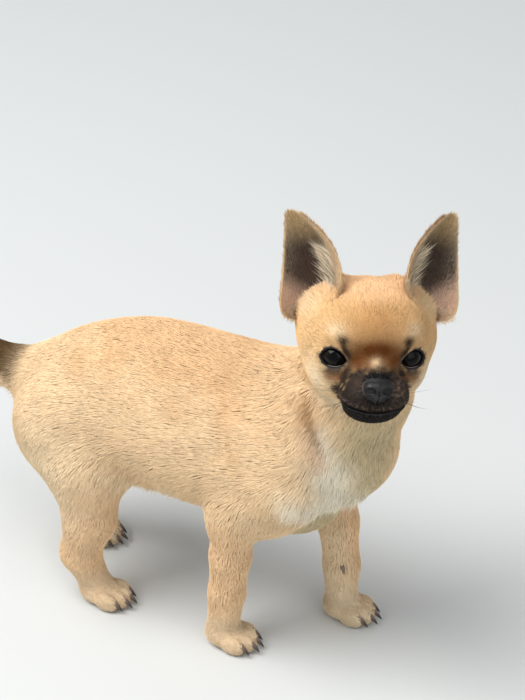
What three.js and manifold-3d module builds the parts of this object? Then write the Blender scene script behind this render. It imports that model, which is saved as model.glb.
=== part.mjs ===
// A chihuahua puppy standing with its head turned to its right.
// Millimetres, X towards the chest, Y towards the dog's left side, Z up, floor at Z = 0.

import * as THREE from 'three';
import { mergeVertices } from 'three/addons/utils/BufferGeometryUtils.js';
import Module from 'manifold-3d';

const wasm = await Module();
wasm.setup();

// Driving dimensions of the trunk.
const BACK = 167;
const BELLY = 75;
const BRISKET = 66;
const CHEST_FRONT = 113;
const BUTTOCK = -99;
const RIB_HALF_WIDTH = 38;
const LOIN_HALF_WIDTH = 37;
const HIP_HALF_WIDTH = 33;

// Driving dimensions of the head, in its own frame: X to the nose, Y to the left, Z up.
const HEAD_AT = [104.8, -4.2, 199];
const HEAD_YAW = -55;
const HEAD_PITCH = 18.4;
const HEAD_ROLL = -4.7;
const SKULL_HALF_WIDTH = 31;
const EYE_AT = [17.4, 17, -5.4];
const EYE_RADIUS = 8.4;
const EYE_OUTWARD = 20;
const LID_INNER = 6.7;
const LID_OUTER = 5.9;
const LID_ARCH = 8.4;
const NOSE_AT = [43, 0, -15];
const MOUTH_HEIGHT = -27.4;
const LIP_GAP = 0.9;

// Driving dimensions of the ears, limbs and tail.
const EAR_ROOT = [-7, 27, 9];
const EAR_TIP = [-4, 40, 60.5];
const EAR_BOW = { right: 7.6, left: 5.8 };
const EAR_HALF_WIDTH = 15.8;
const EAR_THICKNESS = 1.8;
const EAR_WIDEST = 0.68;
const EAR_LOBE = 0.335;
const EAR_OUTWARD = 24;
const TAIL_LENGTH = 105;
const CLAW_LENGTH = 7.6;
const CLAW_RADIUS = 1.6;

const GAP = 0.3;
const HALF_GAP = GAP / 2;
const FINENESS = 0.9;
const radians = THREE.MathUtils.degToRad;
const SIDES = { right: -1, left: 1 };

// Forms are rounded solids given by a signed distance that is negative inside.
function ellipsoid(centre, radii, blend = 12, tilt = 0) {
  const cos = Math.cos(radians(tilt));
  const sin = Math.sin(radians(tilt));
  const distance = (x, y, z) => {
    const dx = x - centre[0];
    const dz = z - centre[2];
    const u = (cos * dx + sin * dz) / radii[0];
    const v = (y - centre[1]) / radii[1];
    const w = (cos * dz - sin * dx) / radii[2];
    const k0 = Math.hypot(u, v, w);
    const k1 = Math.hypot(u / radii[0], v / radii[1], w / radii[2]);
    return k1 < 1e-9 ? -Math.min(...radii) : (k0 * (k0 - 1)) / k1;
  };
  return { distance, blend };
}

function bone(from, to, radiusFrom, radiusTo, blend = 12) {
  const axis = new THREE.Vector3(...to).sub(new THREE.Vector3(...from));
  const square = axis.lengthSq();
  const distance = (x, y, z) => {
    const dx = x - from[0];
    const dy = y - from[1];
    const dz = z - from[2];
    const along = (dx * axis.x + dy * axis.y + dz * axis.z) / square;
    const t = THREE.MathUtils.clamp(along, 0, 1);
    const radius = radiusFrom + (radiusTo - radiusFrom) * t;
    return Math.hypot(dx - axis.x * t, dy - axis.y * t, dz - axis.z * t) - radius;
  };
  return { distance, blend };
}

function smoothMin(a, b, blend) {
  const h = Math.max(blend - Math.abs(a - b), 0) / blend;
  return Math.min(a, b) - (h * h * blend) / 4;
}

function union(forms) {
  return (x, y, z) => {
    let total = forms[0].distance(x, y, z);
    for (let i = 1; i < forms.length; i += 1) {
      total = smoothMin(total, forms[i].distance(x, y, z), forms[i].blend);
    }
    return total;
  };
}

const bothSides = (make) => Object.values(SIDES).flatMap(make);

// The trunk: ribs, loin, pelvis, withers, chest, brisket, shoulders and haunches.
const middle = (BACK + BELLY) / 2;
const trunkForms = [
  ellipsoid([30, 0, middle - 3], [64, RIB_HALF_WIDTH, 47.5]),
  ellipsoid([-8, 0, middle], [62, LOIN_HALF_WIDTH, 45.5]),
  ellipsoid([BUTTOCK + 41.5, 0, 105.5], [39.5, HIP_HALF_WIDTH, 35.5], 26),
  ellipsoid([44, 0, 138], [40, 24, 28]),
  ellipsoid([CHEST_FRONT - 28, 6, 124], [32, 31, 31]),
  ellipsoid([56, 0, BRISKET + 22], [33, 22, 22]),
  ...bothSides((side) => [
    ellipsoid([62, side * 25, 112], [26, 14, 36], 12, -18),
    ellipsoid([-55.5, side * 24, 100], [32, 17, 31], 12, 15),
  ]),
];

// The neck rises from between the shoulders to the base of the skull.
const neckForms = [
  bone([66, 3, 130], [94, 6, 160], 35, 27.5, 14),
  bone([94, 6, 160], [97, 4, 182], 27.5, 22, 12),
];

// The tail leaves the rump level and curves up towards its tip.
const TAIL_STEPS = 6;
const tailPoints = Array.from({ length: TAIL_STEPS + 1 }, (_, i) => {
  const s = i / TAIL_STEPS;
  const at = [-86 - 0.88 * TAIL_LENGTH * s, 10 * s * s, 114.5 + 56.5 * s ** 4];
  return { at, radius: 13.2 - 9.7 * s };
});
const tailForms = tailPoints.slice(1).map((point, i) => {
  const before = tailPoints[i];
  return bone(before.at, point.at, before.radius, point.radius, i === 0 ? 14 : 3);
});

// The joints of the legs; each paw is given by its place on the floor.
const forelegs = {
  right: { side: -1, elbow: [43, -27, 84], arm: [41, -26.5, 58], wrist: [38.5, -26, 33], paw: [37, -26] },
  left: { side: 1, elbow: [73, 26, 84], arm: [77, 25.5, 58], wrist: [79.5, 25, 32], paw: [81, 24] },
};
const hindlegs = {
  right: { side: -1, knee: [-44, -26, 84], shank: [-42.5, -28, 54], hock: [-49, -28, 30], paw: [-40, -25] },
  left: { side: 1, knee: [-53, 26, 84], shank: [-64, 26, 54], hock: [-84, 24, 31], paw: [-73, 22] },
};

// Four toes spread across the paw, the middle two ahead of the outer two.
const TOES = [-1.5, -0.5, 0.5, 1.5];
function toeAt(paw, toe) {
  const ahead = 12 - 3.4 * (Math.abs(toe) - 0.5);
  return [paw[0] + ahead, paw[1] + toe * 4.9, 5];
}

function pawForms(paw) {
  return [
    ellipsoid([paw[0] + 1, paw[1], 6], [12, 9.6, 7], 4),
    ...TOES.map((toe) => ellipsoid(toeAt(paw, toe), [6.8, 3.5, 5.4], 1.6)),
  ];
}

function forelegForms(leg) {
  return [
    bone([70, leg.side * 24, 108], leg.elbow, 17, 12.5, 10),
    bone(leg.elbow, leg.arm, 12, 10.4, 8),
    bone(leg.arm, leg.wrist, 10.6, 9.4, 4),
    bone(leg.wrist, [leg.paw[0] - 1, leg.paw[1], 12], 9.4, 8.6, 4),
    ...pawForms(leg.paw),
  ];
}

function hindlegForms(leg) {
  return [
    bone(leg.knee, leg.shank, 21, 13.5, 12),
    bone(leg.shank, leg.hock, 13.5, 10.5, 6),
    bone(leg.hock, [leg.paw[0] - 3, leg.paw[1], 12], 10, 8.4, 5),
    ...pawForms(leg.paw),
  ];
}

const bodyDistance = union([
  ...trunkForms,
  ...neckForms,
  ...tailForms,
  ...Object.values(forelegs).flatMap(forelegForms),
  ...Object.values(hindlegs).flatMap(hindlegForms),
]);

// The head: domed skull, brows, cheeks, lids, short muzzle, lip pads, jaw and ear roots.
const lidAt = (side) => [EYE_AT[0], side * EYE_AT[1], EYE_AT[2]];
const headDistanceAlone = union([
  ellipsoid([-4, 0, 1], [34, SKULL_HALF_WIDTH, 27], 10),
  ellipsoid([10, 0, 6], [23, 25, 20], 10),
  ellipsoid([10, 0, -20], [21, 19, 14], 10),
  bone([22, 0, -9], [39, 0, -14], 9, 6.5, 7),
  ellipsoid([29, 0, -18], [16, 14, 10], 6),
  ellipsoid([26.5, 0, -28.2], [14.5, 14, 7.6], 3.5),
  ...bothSides((side) => [
    ellipsoid([3, side * 16.5, -12], [20, 12.5, 15], 10),
    ellipsoid([20, side * 12, 4], [10, 9, 7], 6),
    ellipsoid([33.5, side * 8, -21], [10.5, 8.8, 8], 4),
    bone([-3, side * 17, 21.5], [-11.5, side * 29, 11], 5.5, 6.5, 10),
    ellipsoid([2, side * 27, 2], [10, 6, 9], 8),
    ellipsoid(lidAt(side), [EYE_RADIUS + 1.5, EYE_RADIUS + 1.5, EYE_RADIUS + 1], 3),
  ]),
]);

const headGroup = new THREE.Group();
headGroup.position.set(...HEAD_AT);
headGroup.rotation.set(radians(HEAD_ROLL), -radians(HEAD_PITCH), radians(HEAD_YAW), 'ZYX');
headGroup.updateMatrixWorld();
const headMatrix = headGroup.matrixWorld.clone();
const headInverse = headMatrix.clone().invert();

const NECK_BLEND = 9;
const probe = new THREE.Vector3();
function dogDistance(x, y, z) {
  probe.set(x, y, z).applyMatrix4(headInverse);
  return smoothMin(bodyDistance(x, y, z), headDistanceAlone(probe.x, probe.y, probe.z), NECK_BLEND);
}
function headDistance(x, y, z) {
  probe.set(x, y, z).applyMatrix4(headMatrix);
  return smoothMin(bodyDistance(probe.x, probe.y, probe.z), headDistanceAlone(x, y, z), NECK_BLEND);
}

// Grid lines from one limit to the other, spaced by the step given for each place.
const even = (step) => () => step;
function gridLines(from, to, stepAt) {
  const lines = [from];
  while (lines.at(-1) < to) {
    lines.push(lines.at(-1) + stepAt(lines.at(-1)) / FINENESS);
  }
  return lines;
}

// The twelve edges of a grid cell, each as its two corners.
const cellEdges = [0, 1, 2].flatMap((axis) => [[0, 0], [0, 1], [1, 0], [1, 1]].map(([one, two]) => {
  const start = [0, 0, 0];
  start[(axis + 1) % 3] = one;
  start[(axis + 2) % 3] = two;
  const end = [...start];
  end[axis] = 1;
  return [start, end];
}));

// Newton steps bring a point onto the level, within reach of its own cell.
function slideToLevel(distance, point, level, lines, cell) {
  const step = 0.2;
  for (let turn = 0; turn < 3; turn += 1) {
    const { x, y, z } = point;
    const value = distance(x, y, z) - level;
    const slope = new THREE.Vector3(
      distance(x + step, y, z) - distance(x - step, y, z),
      distance(x, y + step, z) - distance(x, y - step, z),
      distance(x, y, z + step) - distance(x, y, z - step),
    ).divideScalar(2 * step);
    point.addScaledVector(slope, -value / Math.max(slope.lengthSq(), 0.2));
    ['x', 'y', 'z'].forEach((name, axis) => {
      const low = lines[axis][cell[axis]];
      const high = lines[axis][cell[axis] + 1];
      const margin = 0.02 * (high - low);
      point[name] = THREE.MathUtils.clamp(point[name], low + margin, high - margin);
    });
  }
}

// A closed mesh of one level of a distance, with one vertex in each grid cell that it crosses.
function skinOf(distance, lines, level = 0) {
  const [xs, ys, zs] = lines;
  const [nx, ny, nz] = lines.map((list) => list.length);
  const at = (i, j, k) => (k * ny + j) * nx + i;
  const inner = (i, j, k) => i > 0 && j > 0 && k > 0 && i < nx - 1 && j < ny - 1 && k < nz - 1;
  const values = new Float64Array(nx * ny * nz);
  const eachPlace = (first, last, visit) => {
    for (let k = first; k < nz - last; k += 1) {
      for (let j = first; j < ny - last; j += 1) {
        for (let i = first; i < nx - last; i += 1) visit(i, j, k);
      }
    }
  };
  eachPlace(0, 0, (i, j, k) => {
    const value = distance(xs[i], ys[j], zs[k]) - level;
    values[at(i, j, k)] = inner(i, j, k) ? value : Math.max(value, 0.05);
  });
  const points = [];
  const pointIn = new Map();
  eachPlace(0, 1, (i, j, k) => {
    const point = new THREE.Vector3();
    let count = 0;
    for (const [a, b] of cellEdges) {
      const one = values[at(i + a[0], j + a[1], k + a[2])];
      const two = values[at(i + b[0], j + b[1], k + b[2])];
      if (one < 0 === two < 0) continue;
      const t = one / (one - two);
      point.x += THREE.MathUtils.lerp(xs[i + a[0]], xs[i + b[0]], t);
      point.y += THREE.MathUtils.lerp(ys[j + a[1]], ys[j + b[1]], t);
      point.z += THREE.MathUtils.lerp(zs[k + a[2]], zs[k + b[2]], t);
      count += 1;
    }
    if (count === 0) return;
    point.divideScalar(count);
    if (inner(i, j, k) && inner(i + 1, j + 1, k + 1)) {
      slideToLevel(distance, point, level, lines, [i, j, k]);
    }
    pointIn.set(at(i, j, k), points.length);
    points.push(point);
  });
  const faces = [];
  const quad = (cells, flip) => {
    const ring = cells.map((cell) => pointIn.get(cell));
    if (flip) ring.reverse();
    const [a, b, c, d] = ring;
    if (points[a].distanceTo(points[c]) < points[b].distanceTo(points[d])) faces.push(a, b, c, a, c, d);
    else faces.push(a, b, d, b, c, d);
  };
  eachPlace(0, 1, (i, j, k) => {
    const solid = values[at(i, j, k)] < 0;
    if (solid !== values[at(i + 1, j, k)] < 0) {
      quad([at(i, j - 1, k - 1), at(i, j, k - 1), at(i, j, k), at(i, j - 1, k)], !solid);
    }
    if (solid !== values[at(i, j + 1, k)] < 0) {
      quad([at(i - 1, j, k - 1), at(i - 1, j, k), at(i, j, k), at(i, j, k - 1)], !solid);
    }
    if (solid !== values[at(i, j, k + 1)] < 0) {
      quad([at(i - 1, j - 1, k), at(i, j - 1, k), at(i, j, k), at(i - 1, j, k)], !solid);
    }
  });
  const geometry = new THREE.BufferGeometry().setFromPoints(points);
  geometry.setIndex(faces);
  return geometry;
}

// How far the body reaches from a place in one direction, up to a limit.
function reachFrom(place, direction, limit) {
  const depth = (far) => dogDistance(...place.clone().addScaledVector(direction, far).toArray());
  let low = 0;
  while (low < limit && depth(low + 1.5) < 0) low += 1.5;
  let high = low + 1.5;
  for (let turn = 0; turn < 9; turn += 1) {
    const half = (low + high) / 2;
    if (depth(half) < 0) low = half;
    else high = half;
  }
  return Math.min(high, limit);
}

// A closed tube round an axis, each ring set where rays from the axis leave the body.
function sleeveOf(axis, ringCount, sides, limit = 36) {
  const curve = new THREE.CatmullRomCurve3(axis.map((place) => new THREE.Vector3(...place)));
  const points = [];
  for (let i = 0; i <= ringCount; i += 1) {
    const place = curve.getPoint(i / ringCount);
    const along = curve.getTangent(i / ringCount);
    const across = new THREE.Vector3(0, 1, 0);
    across.addScaledVector(along, -across.dot(along)).normalize();
    const over = along.clone().cross(across);
    for (let j = 0; j < sides; j += 1) {
      const turn = (2 * Math.PI * j) / sides;
      const direction = across.clone().multiplyScalar(Math.cos(turn)).addScaledVector(over, Math.sin(turn));
      points.push(place.clone().addScaledVector(direction, reachFrom(place, direction, limit)));
    }
  }
  for (const [t, sign] of [[0, -1], [1, 1]]) {
    const outward = curve.getTangent(t).multiplyScalar(sign);
    points.push(curve.getPoint(t).addScaledVector(outward, reachFrom(curve.getPoint(t), outward, 6)));
  }
  const faces = [];
  const last = ringCount * sides;
  for (let j = 0; j < sides; j += 1) {
    const next = (j + 1) % sides;
    for (let i = 0; i < last; i += sides) {
      faces.push(i + j, i + next, i + sides + next, i + j, i + sides + next, i + sides + j);
    }
    faces.push(points.length - 2, next, j, points.length - 1, last + j, last + next);
  }
  const geometry = new THREE.BufferGeometry().setFromPoints(points);
  geometry.setIndex(faces);
  return solidOf(geometry);
}

// Solids for joining and cutting; a finished part keeps only its largest closed surface.
function solidOf(geometry) {
  const bare = geometry.clone();
  bare.deleteAttribute('normal');
  bare.deleteAttribute('uv');
  const merged = mergeVertices(bare, 1e-4);
  return new wasm.Manifold(new wasm.Mesh({
    numProp: 3,
    vertProperties: new Float32Array(merged.attributes.position.array),
    triVerts: new Uint32Array(merged.index.array),
  }));
}

function geometryOf(solid) {
  const [largest] = solid.decompose().sort((a, b) => b.volume() - a.volume());
  const mesh = largest.getMesh();
  const geometry = new THREE.BufferGeometry();
  geometry.setAttribute('position', new THREE.BufferAttribute(mesh.vertProperties, 3));
  geometry.setIndex(new THREE.BufferAttribute(mesh.triVerts, 1));
  geometry.computeVertexNormals();
  return geometry;
}

// Half of space, as a large block with one face on the plane and its bulk on the normal's side.
const REACH = 700;
function halfSpace(plane, shift = HALF_GAP) {
  const normal = new THREE.Vector3(...plane.normal).normalize();
  const turn = new THREE.Quaternion().setFromUnitVectors(new THREE.Vector3(0, 0, 1), normal);
  const block = new THREE.BoxGeometry(REACH, REACH, REACH).translate(0, 0, REACH / 2 + shift);
  return solidOf(block.applyQuaternion(turn).translate(...plane.at));
}

const region = (planes, shift) => planes
  .map((plane) => halfSpace(plane, shift))
  .reduce((one, two) => one.intersect(two));
const opposite = (plane) => ({ at: plane.at, normal: plane.normal.map((value) => -value) });

// Where the body is parted. Each normal points into the part that the plane is named for.
const floorUp = { at: [0, 0, 0], normal: [0, 0, 1] };
const neckCut = { at: [80, 2, 146], normal: [0.62, 0, 0.78] };
const tailCut = { at: [-94, 0, 113], normal: [-1, 0, 0.15] };
const headCut = { at: [-6, 0, -24], normal: [0.35, 0, 0.94] };
const headCutFromBody = {
  at: new THREE.Vector3(...headCut.at).applyMatrix4(headMatrix).toArray(),
  normal: new THREE.Vector3(...headCut.normal).transformDirection(headMatrix).toArray(),
};
const forelegCuts = ({ side, elbow }) => [
  { at: [0, side * 10, 58], normal: [0, side * 0.82, -0.57] },
  { at: [elbow[0] + 22, 0, 0], normal: [-1, 0, 0] },
  { at: [elbow[0] - 23, 0, 0], normal: [1, 0, 0] },
];
const thighCuts = ({ side }) => [
  { at: [0, side * 6, 66], normal: [0, side * 0.85, -0.53] },
  { at: [-14, 0, 90], normal: [-1, 0, -0.15] },
];
const pawCut = (leg) => ({ at: [leg.wrist[0], leg.wrist[1], 25], normal: [0, 0, -1] });
const shankCut = (leg) => ({ at: [leg.shank[0], leg.shank[1], 62], normal: [0.2, 0, -1] });
const hockCut = (leg) => ({ at: leg.hock, normal: [0.45, 0, -0.9] });

function bodyPart(low, high, steps, level = 0) {
  const lines = low.map((value, axis) => gridLines(value, high[axis], even(steps[axis])));
  return solidOf(skinOf(dogDistance, lines, level)).intersect(halfSpace(floorUp, 0));
}

const parts = new Map();

// Trunk, neck and tail.
const legRegions = [
  ...Object.values(forelegs).map(forelegCuts),
  ...Object.values(hindlegs).map(thighCuts),
];
parts.set('torso', legRegions.reduce(
  (torso, planes) => torso.subtract(region(planes, -HALF_GAP)),
  bodyPart([-113, -52.6, 51], [128, 52, 184], [10, 7.4, 7.4])
    .intersect(halfSpace(opposite(neckCut)))
    .intersect(halfSpace(opposite(tailCut))),
));
parts.set('neck', sleeveOf([[56, 2, 118], [94, 6, 160], [98, 4, 186]], 12, 22, 60)
  .intersect(halfSpace(neckCut))
  .intersect(halfSpace(opposite(headCutFromBody))));
parts.set('tail', sleeveOf(tailPoints.map((point) => point.at), 14, 12)
  .intersect(halfSpace(tailCut)));

// Claws are curved cones that start on the front of each toe, just clear of it.
function clawGeometry(at, drop = 22) {
  const claw = new THREE.ConeGeometry(CLAW_RADIUS, CLAW_LENGTH, 6, 2);
  claw.translate(0, CLAW_LENGTH / 2, 0).rotateZ(-Math.PI / 2);
  const places = claw.attributes.position;
  for (let i = 0; i < places.count; i += 1) {
    const x = places.getX(i);
    places.setZ(i, places.getZ(i) * 1.25 - 0.035 * x * x);
  }
  return claw.rotateY(radians(drop)).translate(...at);
}

// A paw below its cut, with its claws.
function addPaw(name, paw, cut, low, high) {
  const [x, y] = paw;
  const box = [[x + low[0], y + low[1], low[2]], [x + high[0], y + high[1], high[2]], [3.3, 2.7, 3.6]];
  parts.set(name, bodyPart(...box).intersect(halfSpace(cut)));
  const cleared = bodyPart(...box, 2 * GAP);
  TOES.forEach((toe, i) => {
    const [tx, ty, tz] = toeAt(paw, toe);
    const claw = solidOf(clawGeometry([tx + 4.2, ty, tz + 1.6])).subtract(cleared);
    parts.set(`${name.replace('paw', '_claw')}_${i + 1}`, claw);
  });
}

// Legs and paws.
for (const [name, leg] of Object.entries(forelegs)) {
  const [x, y] = leg.elbow;
  const armAxis = [[x, y, 114], leg.elbow, leg.arm, leg.wrist, [...leg.paw, 14]];
  parts.set(`foreleg_${name}`, sleeveOf(armAxis, 15, 18)
    .intersect(region(forelegCuts(leg), HALF_GAP))
    .intersect(halfSpace(opposite(pawCut(leg)))));
  addPaw(`forepaw_${name}`, leg.paw, pawCut(leg), [-18, -16, -3], [26, 16, 30]);
  // The dewclaw points down along the inner side of the wrist.
  const dew = [leg.wrist[0] + 5.5, leg.wrist[1] - leg.side * 9.6, 36];
  const aroundDew = bodyPart(dew.map((v) => v - 9), dew.map((v) => v + 9), [2.4, 2.4, 2.4], 3 * GAP);
  parts.set(`dewclaw_${name}`, solidOf(clawGeometry(dew, 60)).subtract(aroundDew));
}
for (const [name, leg] of Object.entries(hindlegs)) {
  const [, y] = leg.shank;
  parts.set(`thigh_${name}`, bodyPart([-112, y - 28, 44], [-4, y + 26, 146], [7.5, 6, 7])
    .intersect(region(thighCuts(leg), HALF_GAP))
    .intersect(halfSpace(opposite(shankCut(leg)))));
  parts.set(`shank_${name}`, sleeveOf([leg.knee, leg.shank, leg.hock, [...leg.paw, 16]], 12, 18)
    .intersect(region(thighCuts(leg), HALF_GAP))
    .intersect(halfSpace(shankCut(leg)))
    .intersect(halfSpace(opposite(hockCut(leg)))));
  addPaw(`hindpaw_${name}`, leg.paw, hockCut(leg), [-34, -20.4, -3.3], [26, 18, 52]);
}

// The head, with sockets for the eyes and the nose pad, and the line of the mouth.
const headLines = [
  gridLines(-44, 54, (x) => (x > 8 ? 2.8 : 5.4)),
  gridLines(-44, 44, (y) => (Math.abs(y + 1.5) < 23 ? 3 : 4)),
  gridLines(-46, 42, (z) => (z < 8 ? 2.8 : 5.4)),
];
const headSkin = (level) => solidOf(skinOf(headDistance, headLines, level));
const headCore = headSkin(-1.6);
const headGrown = headSkin(2 * GAP);
let head = headSkin(0).intersect(halfSpace(headCut));

const noseDistance = union([
  ellipsoid(NOSE_AT, [4.6, 5.6, 4.3], 2),
  ...bothSides((side) => [
    ellipsoid([NOSE_AT[0] - 0.5, side * 3.8, NOSE_AT[2] - 0.4], [4.6, 3, 3.6], 2),
  ]),
]);
const noseLines = NOSE_AT.map((value) => gridLines(value - 9.4, value + 10, even(1.9)));
const nostrils = bothSides((side) => {
  const nostril = new THREE.SphereGeometry(1, 10, 8).scale(3, 1.5, 1.7).rotateZ(side * 0.35);
  return [solidOf(nostril.translate(NOSE_AT[0] + 3.6, side * 3.2, NOSE_AT[2] - 0.6))];
});
parts.set('nose', nostrils.reduce(
  (nose, nostril) => nose.subtract(nostril),
  solidOf(skinOf(noseDistance, noseLines)),
));
head = head.subtract(solidOf(skinOf(noseDistance, noseLines, GAP)));

// Turns a shape drawn in Y and Z, with its depth along X, from the plane it is drawn in.
const drawnFromFront = new THREE.Matrix4().makeBasis(
  new THREE.Vector3(0, 1, 0),
  new THREE.Vector3(0, 0, 1),
  new THREE.Vector3(1, 0, 0),
);

// The mouth is a groove round the muzzle, with the groove of the upper lip above its middle.
const MOUTH_HALF = 20;
const lipLine = Array.from({ length: 13 }, (_, i) => {
  const y = MOUTH_HALF * (i / 6 - 1);
  return new THREE.Vector2(y, MOUTH_HEIGHT + 2 * (y / 15) ** 2);
});
const mouthShape = new THREE.Shape([
  ...lipLine.map((p) => new THREE.Vector2(p.x, p.y - LIP_GAP / 2)),
  ...lipLine.toReversed().map((p) => new THREE.Vector2(p.x, p.y + LIP_GAP / 2)),
]);
const mouth = new THREE.ExtrudeGeometry(mouthShape, { depth: 34, bevelEnabled: false });
const philtrum = new THREE.BoxGeometry(16, LIP_GAP, 9).translate(44, 0, MOUTH_HEIGHT + 4.5);
const grooves = solidOf(mouth.applyMatrix4(drawnFromFront).translate(25, 0, 0)).add(solidOf(philtrum));
head = head.subtract(grooves.subtract(headCore));

// Each eye lies behind two lids, cut open in the shape of an almond.
for (const [name, side] of Object.entries(SIDES)) {
  const ball = new THREE.SphereGeometry(EYE_RADIUS, 16, 11).translate(...lidAt(side));
  const socket = new THREE.SphereGeometry(EYE_RADIUS + GAP, 16, 11).translate(...lidAt(side));
  const almond = new THREE.Shape();
  almond.moveTo(-side * LID_INNER, -0.8);
  almond.quadraticCurveTo(-side, LID_ARCH, side * LID_OUTER, 0);
  almond.quadraticCurveTo(side * 0.4, -0.85 * LID_ARCH, -side * LID_INNER, -0.8);
  const opening = new THREE.ExtrudeGeometry(almond, { depth: 18, bevelEnabled: false, curveSegments: 7 });
  opening.applyMatrix4(drawnFromFront).rotateY(-radians(4)).rotateZ(side * radians(EYE_OUTWARD));
  head = head.subtract(solidOf(socket)).subtract(solidOf(opening.translate(...lidAt(side))));
  parts.set(`eye_${name}`, solidOf(ball));
}
parts.set('head', head);

// Each ear is a leaf bent into a cup: rows run from tip to root, columns from edge to edge.
function earGeometry(side, bow) {
  const rows = 14;
  const columns = 10;
  const tip = new THREE.Vector3(EAR_TIP[0], side * EAR_TIP[1], EAR_TIP[2]);
  const root = new THREE.Vector3(EAR_ROOT[0], side * EAR_ROOT[1], EAR_ROOT[2]);
  const up = tip.clone().sub(root).normalize();
  const outward = radians(EAR_OUTWARD);
  const facing = new THREE.Vector3(Math.cos(outward), side * Math.sin(outward), 0);
  facing.addScaledVector(up, -facing.dot(up)).normalize();
  const across = up.clone().cross(facing).multiplyScalar(side);
  const points = [];
  for (const wall of [0.5, -0.5]) {
    for (let i = 0; i <= rows; i += 1) {
      const s = 0.02 + 0.98 * Math.sin((Math.PI / 2) * (i / rows) ** 1.25) ** 1.15;
      const lobe = Math.max((s - EAR_WIDEST) / EAR_LOBE, 0);
      const half = EAR_HALF_WIDTH * Math.sin((Math.min(s / EAR_WIDEST, 1) * Math.PI) / 2) ** 0.68
        * Math.sqrt(1 - lobe ** 2.4);
      const bend = radians(32 + 78 * s * s);
      const radius = half / Math.sin(Math.min(bend, Math.PI / 2));
      const back = tip.clone().lerp(root, s).addScaledVector(across, -4 * bow * s * (1 - s));
      for (let j = 0; j <= columns; j += 1) {
        const turn = bend * ((2 * j) / columns - 1);
        const thick = EAR_THICKNESS * (1 - 0.5 * (turn / bend) ** 2) * (0.6 + 0.7 * s);
        const reach = radius + wall * thick;
        points.push(back.clone()
          .addScaledVector(facing, radius - reach * Math.cos(turn))
          .addScaledVector(across, reach * Math.sin(turn)));
      }
    }
  }
  const faces = [];
  const at = (wall, i, j) => (wall * (rows + 1) + i) * (columns + 1) + j;
  const quad = (a, b, c, d) => faces.push(a, b, c, a, c, d);
  for (let i = 0; i < rows; i += 1) {
    for (let j = 0; j < columns; j += 1) {
      quad(at(0, i, j), at(0, i, j + 1), at(0, i + 1, j + 1), at(0, i + 1, j));
      quad(at(1, i, j), at(1, i + 1, j), at(1, i + 1, j + 1), at(1, i, j + 1));
    }
    quad(at(0, i, 0), at(0, i + 1, 0), at(1, i + 1, 0), at(1, i, 0));
    quad(at(0, i, columns), at(1, i, columns), at(1, i + 1, columns), at(0, i + 1, columns));
  }
  for (let j = 0; j < columns; j += 1) {
    quad(at(0, 0, j), at(1, 0, j), at(1, 0, j + 1), at(0, 0, j + 1));
    quad(at(0, rows, j), at(0, rows, j + 1), at(1, rows, j + 1), at(1, rows, j));
  }
  if (side < 0) faces.reverse();
  const geometry = new THREE.BufferGeometry().setFromPoints(points);
  geometry.setIndex(faces);
  return geometry;
}
for (const [name, side] of Object.entries(SIDES)) {
  parts.set(`ear_${name}`, solidOf(earGeometry(side, EAR_BOW[name])).subtract(headGrown));
}

// Finishes, in the colours of the coat, the nose, the eyes and the claws.
const finish = (color, roughness) => () => (
  new THREE.MeshStandardMaterial({ color, roughness, metalness: 0 })
);
const finishes = [
  [/^nose/, finish(0x1d1817, 0.45)],
  [/^eye/, finish(0x130c09, 0.08)],
  [/claw/, finish(0x3b322c, 0.4)],
  [/^ear/, finish(0xb98a5c, 0.9)],
  [/^tail/, finish(0x8f6f52, 0.9)],
  [/./, finish(0xe0bd8d, 0.9)],
];
const inHeadFrame = /^(head|nose|eye|ear)/;

const dog = new THREE.Group();
dog.add(headGroup);
for (const [name, solid] of parts) {
  const [, make] = finishes.find(([pattern]) => pattern.test(name));
  const mesh = new THREE.Mesh(geometryOf(solid), make());
  mesh.name = name;
  (inHeadFrame.test(name) ? headGroup : dog).add(mesh);
}

// The origin is below the middle of the whole dog, on the floor.
const box = new THREE.Box3().setFromObject(dog, true);
const centre = box.getCenter(new THREE.Vector3());
dog.position.set(-centre.x, -centre.y, -box.min.z);

export default dog;
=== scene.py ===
# A chihuahua puppy that stands with its head turned to its right, as a still, life-size model.
# Sizes are in millimetres: X towards the chest, Y towards the dog's left side, Z up.

import math

import bpy
import numpy as np
from mathutils import Matrix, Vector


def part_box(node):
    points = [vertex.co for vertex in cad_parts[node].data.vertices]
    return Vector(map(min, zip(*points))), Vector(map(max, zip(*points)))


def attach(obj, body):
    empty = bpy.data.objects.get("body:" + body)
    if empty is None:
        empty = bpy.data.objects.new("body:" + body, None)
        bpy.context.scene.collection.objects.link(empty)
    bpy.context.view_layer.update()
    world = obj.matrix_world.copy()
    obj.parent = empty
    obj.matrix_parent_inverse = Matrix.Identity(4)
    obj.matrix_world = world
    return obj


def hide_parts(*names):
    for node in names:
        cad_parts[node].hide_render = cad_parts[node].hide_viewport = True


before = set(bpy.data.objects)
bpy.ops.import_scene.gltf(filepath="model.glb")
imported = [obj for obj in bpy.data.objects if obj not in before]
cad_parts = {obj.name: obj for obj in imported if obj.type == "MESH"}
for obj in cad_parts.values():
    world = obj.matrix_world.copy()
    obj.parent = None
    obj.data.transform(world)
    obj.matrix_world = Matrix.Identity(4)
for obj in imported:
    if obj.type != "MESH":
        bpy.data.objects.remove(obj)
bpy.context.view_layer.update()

# The skin
# One skin covers the dog from the lips to the toes and the tip of the tail: soft hide grown over
# flesh and bone. It lies beneath the coat by the depth of the hair, and is open at the eyes.

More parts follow.
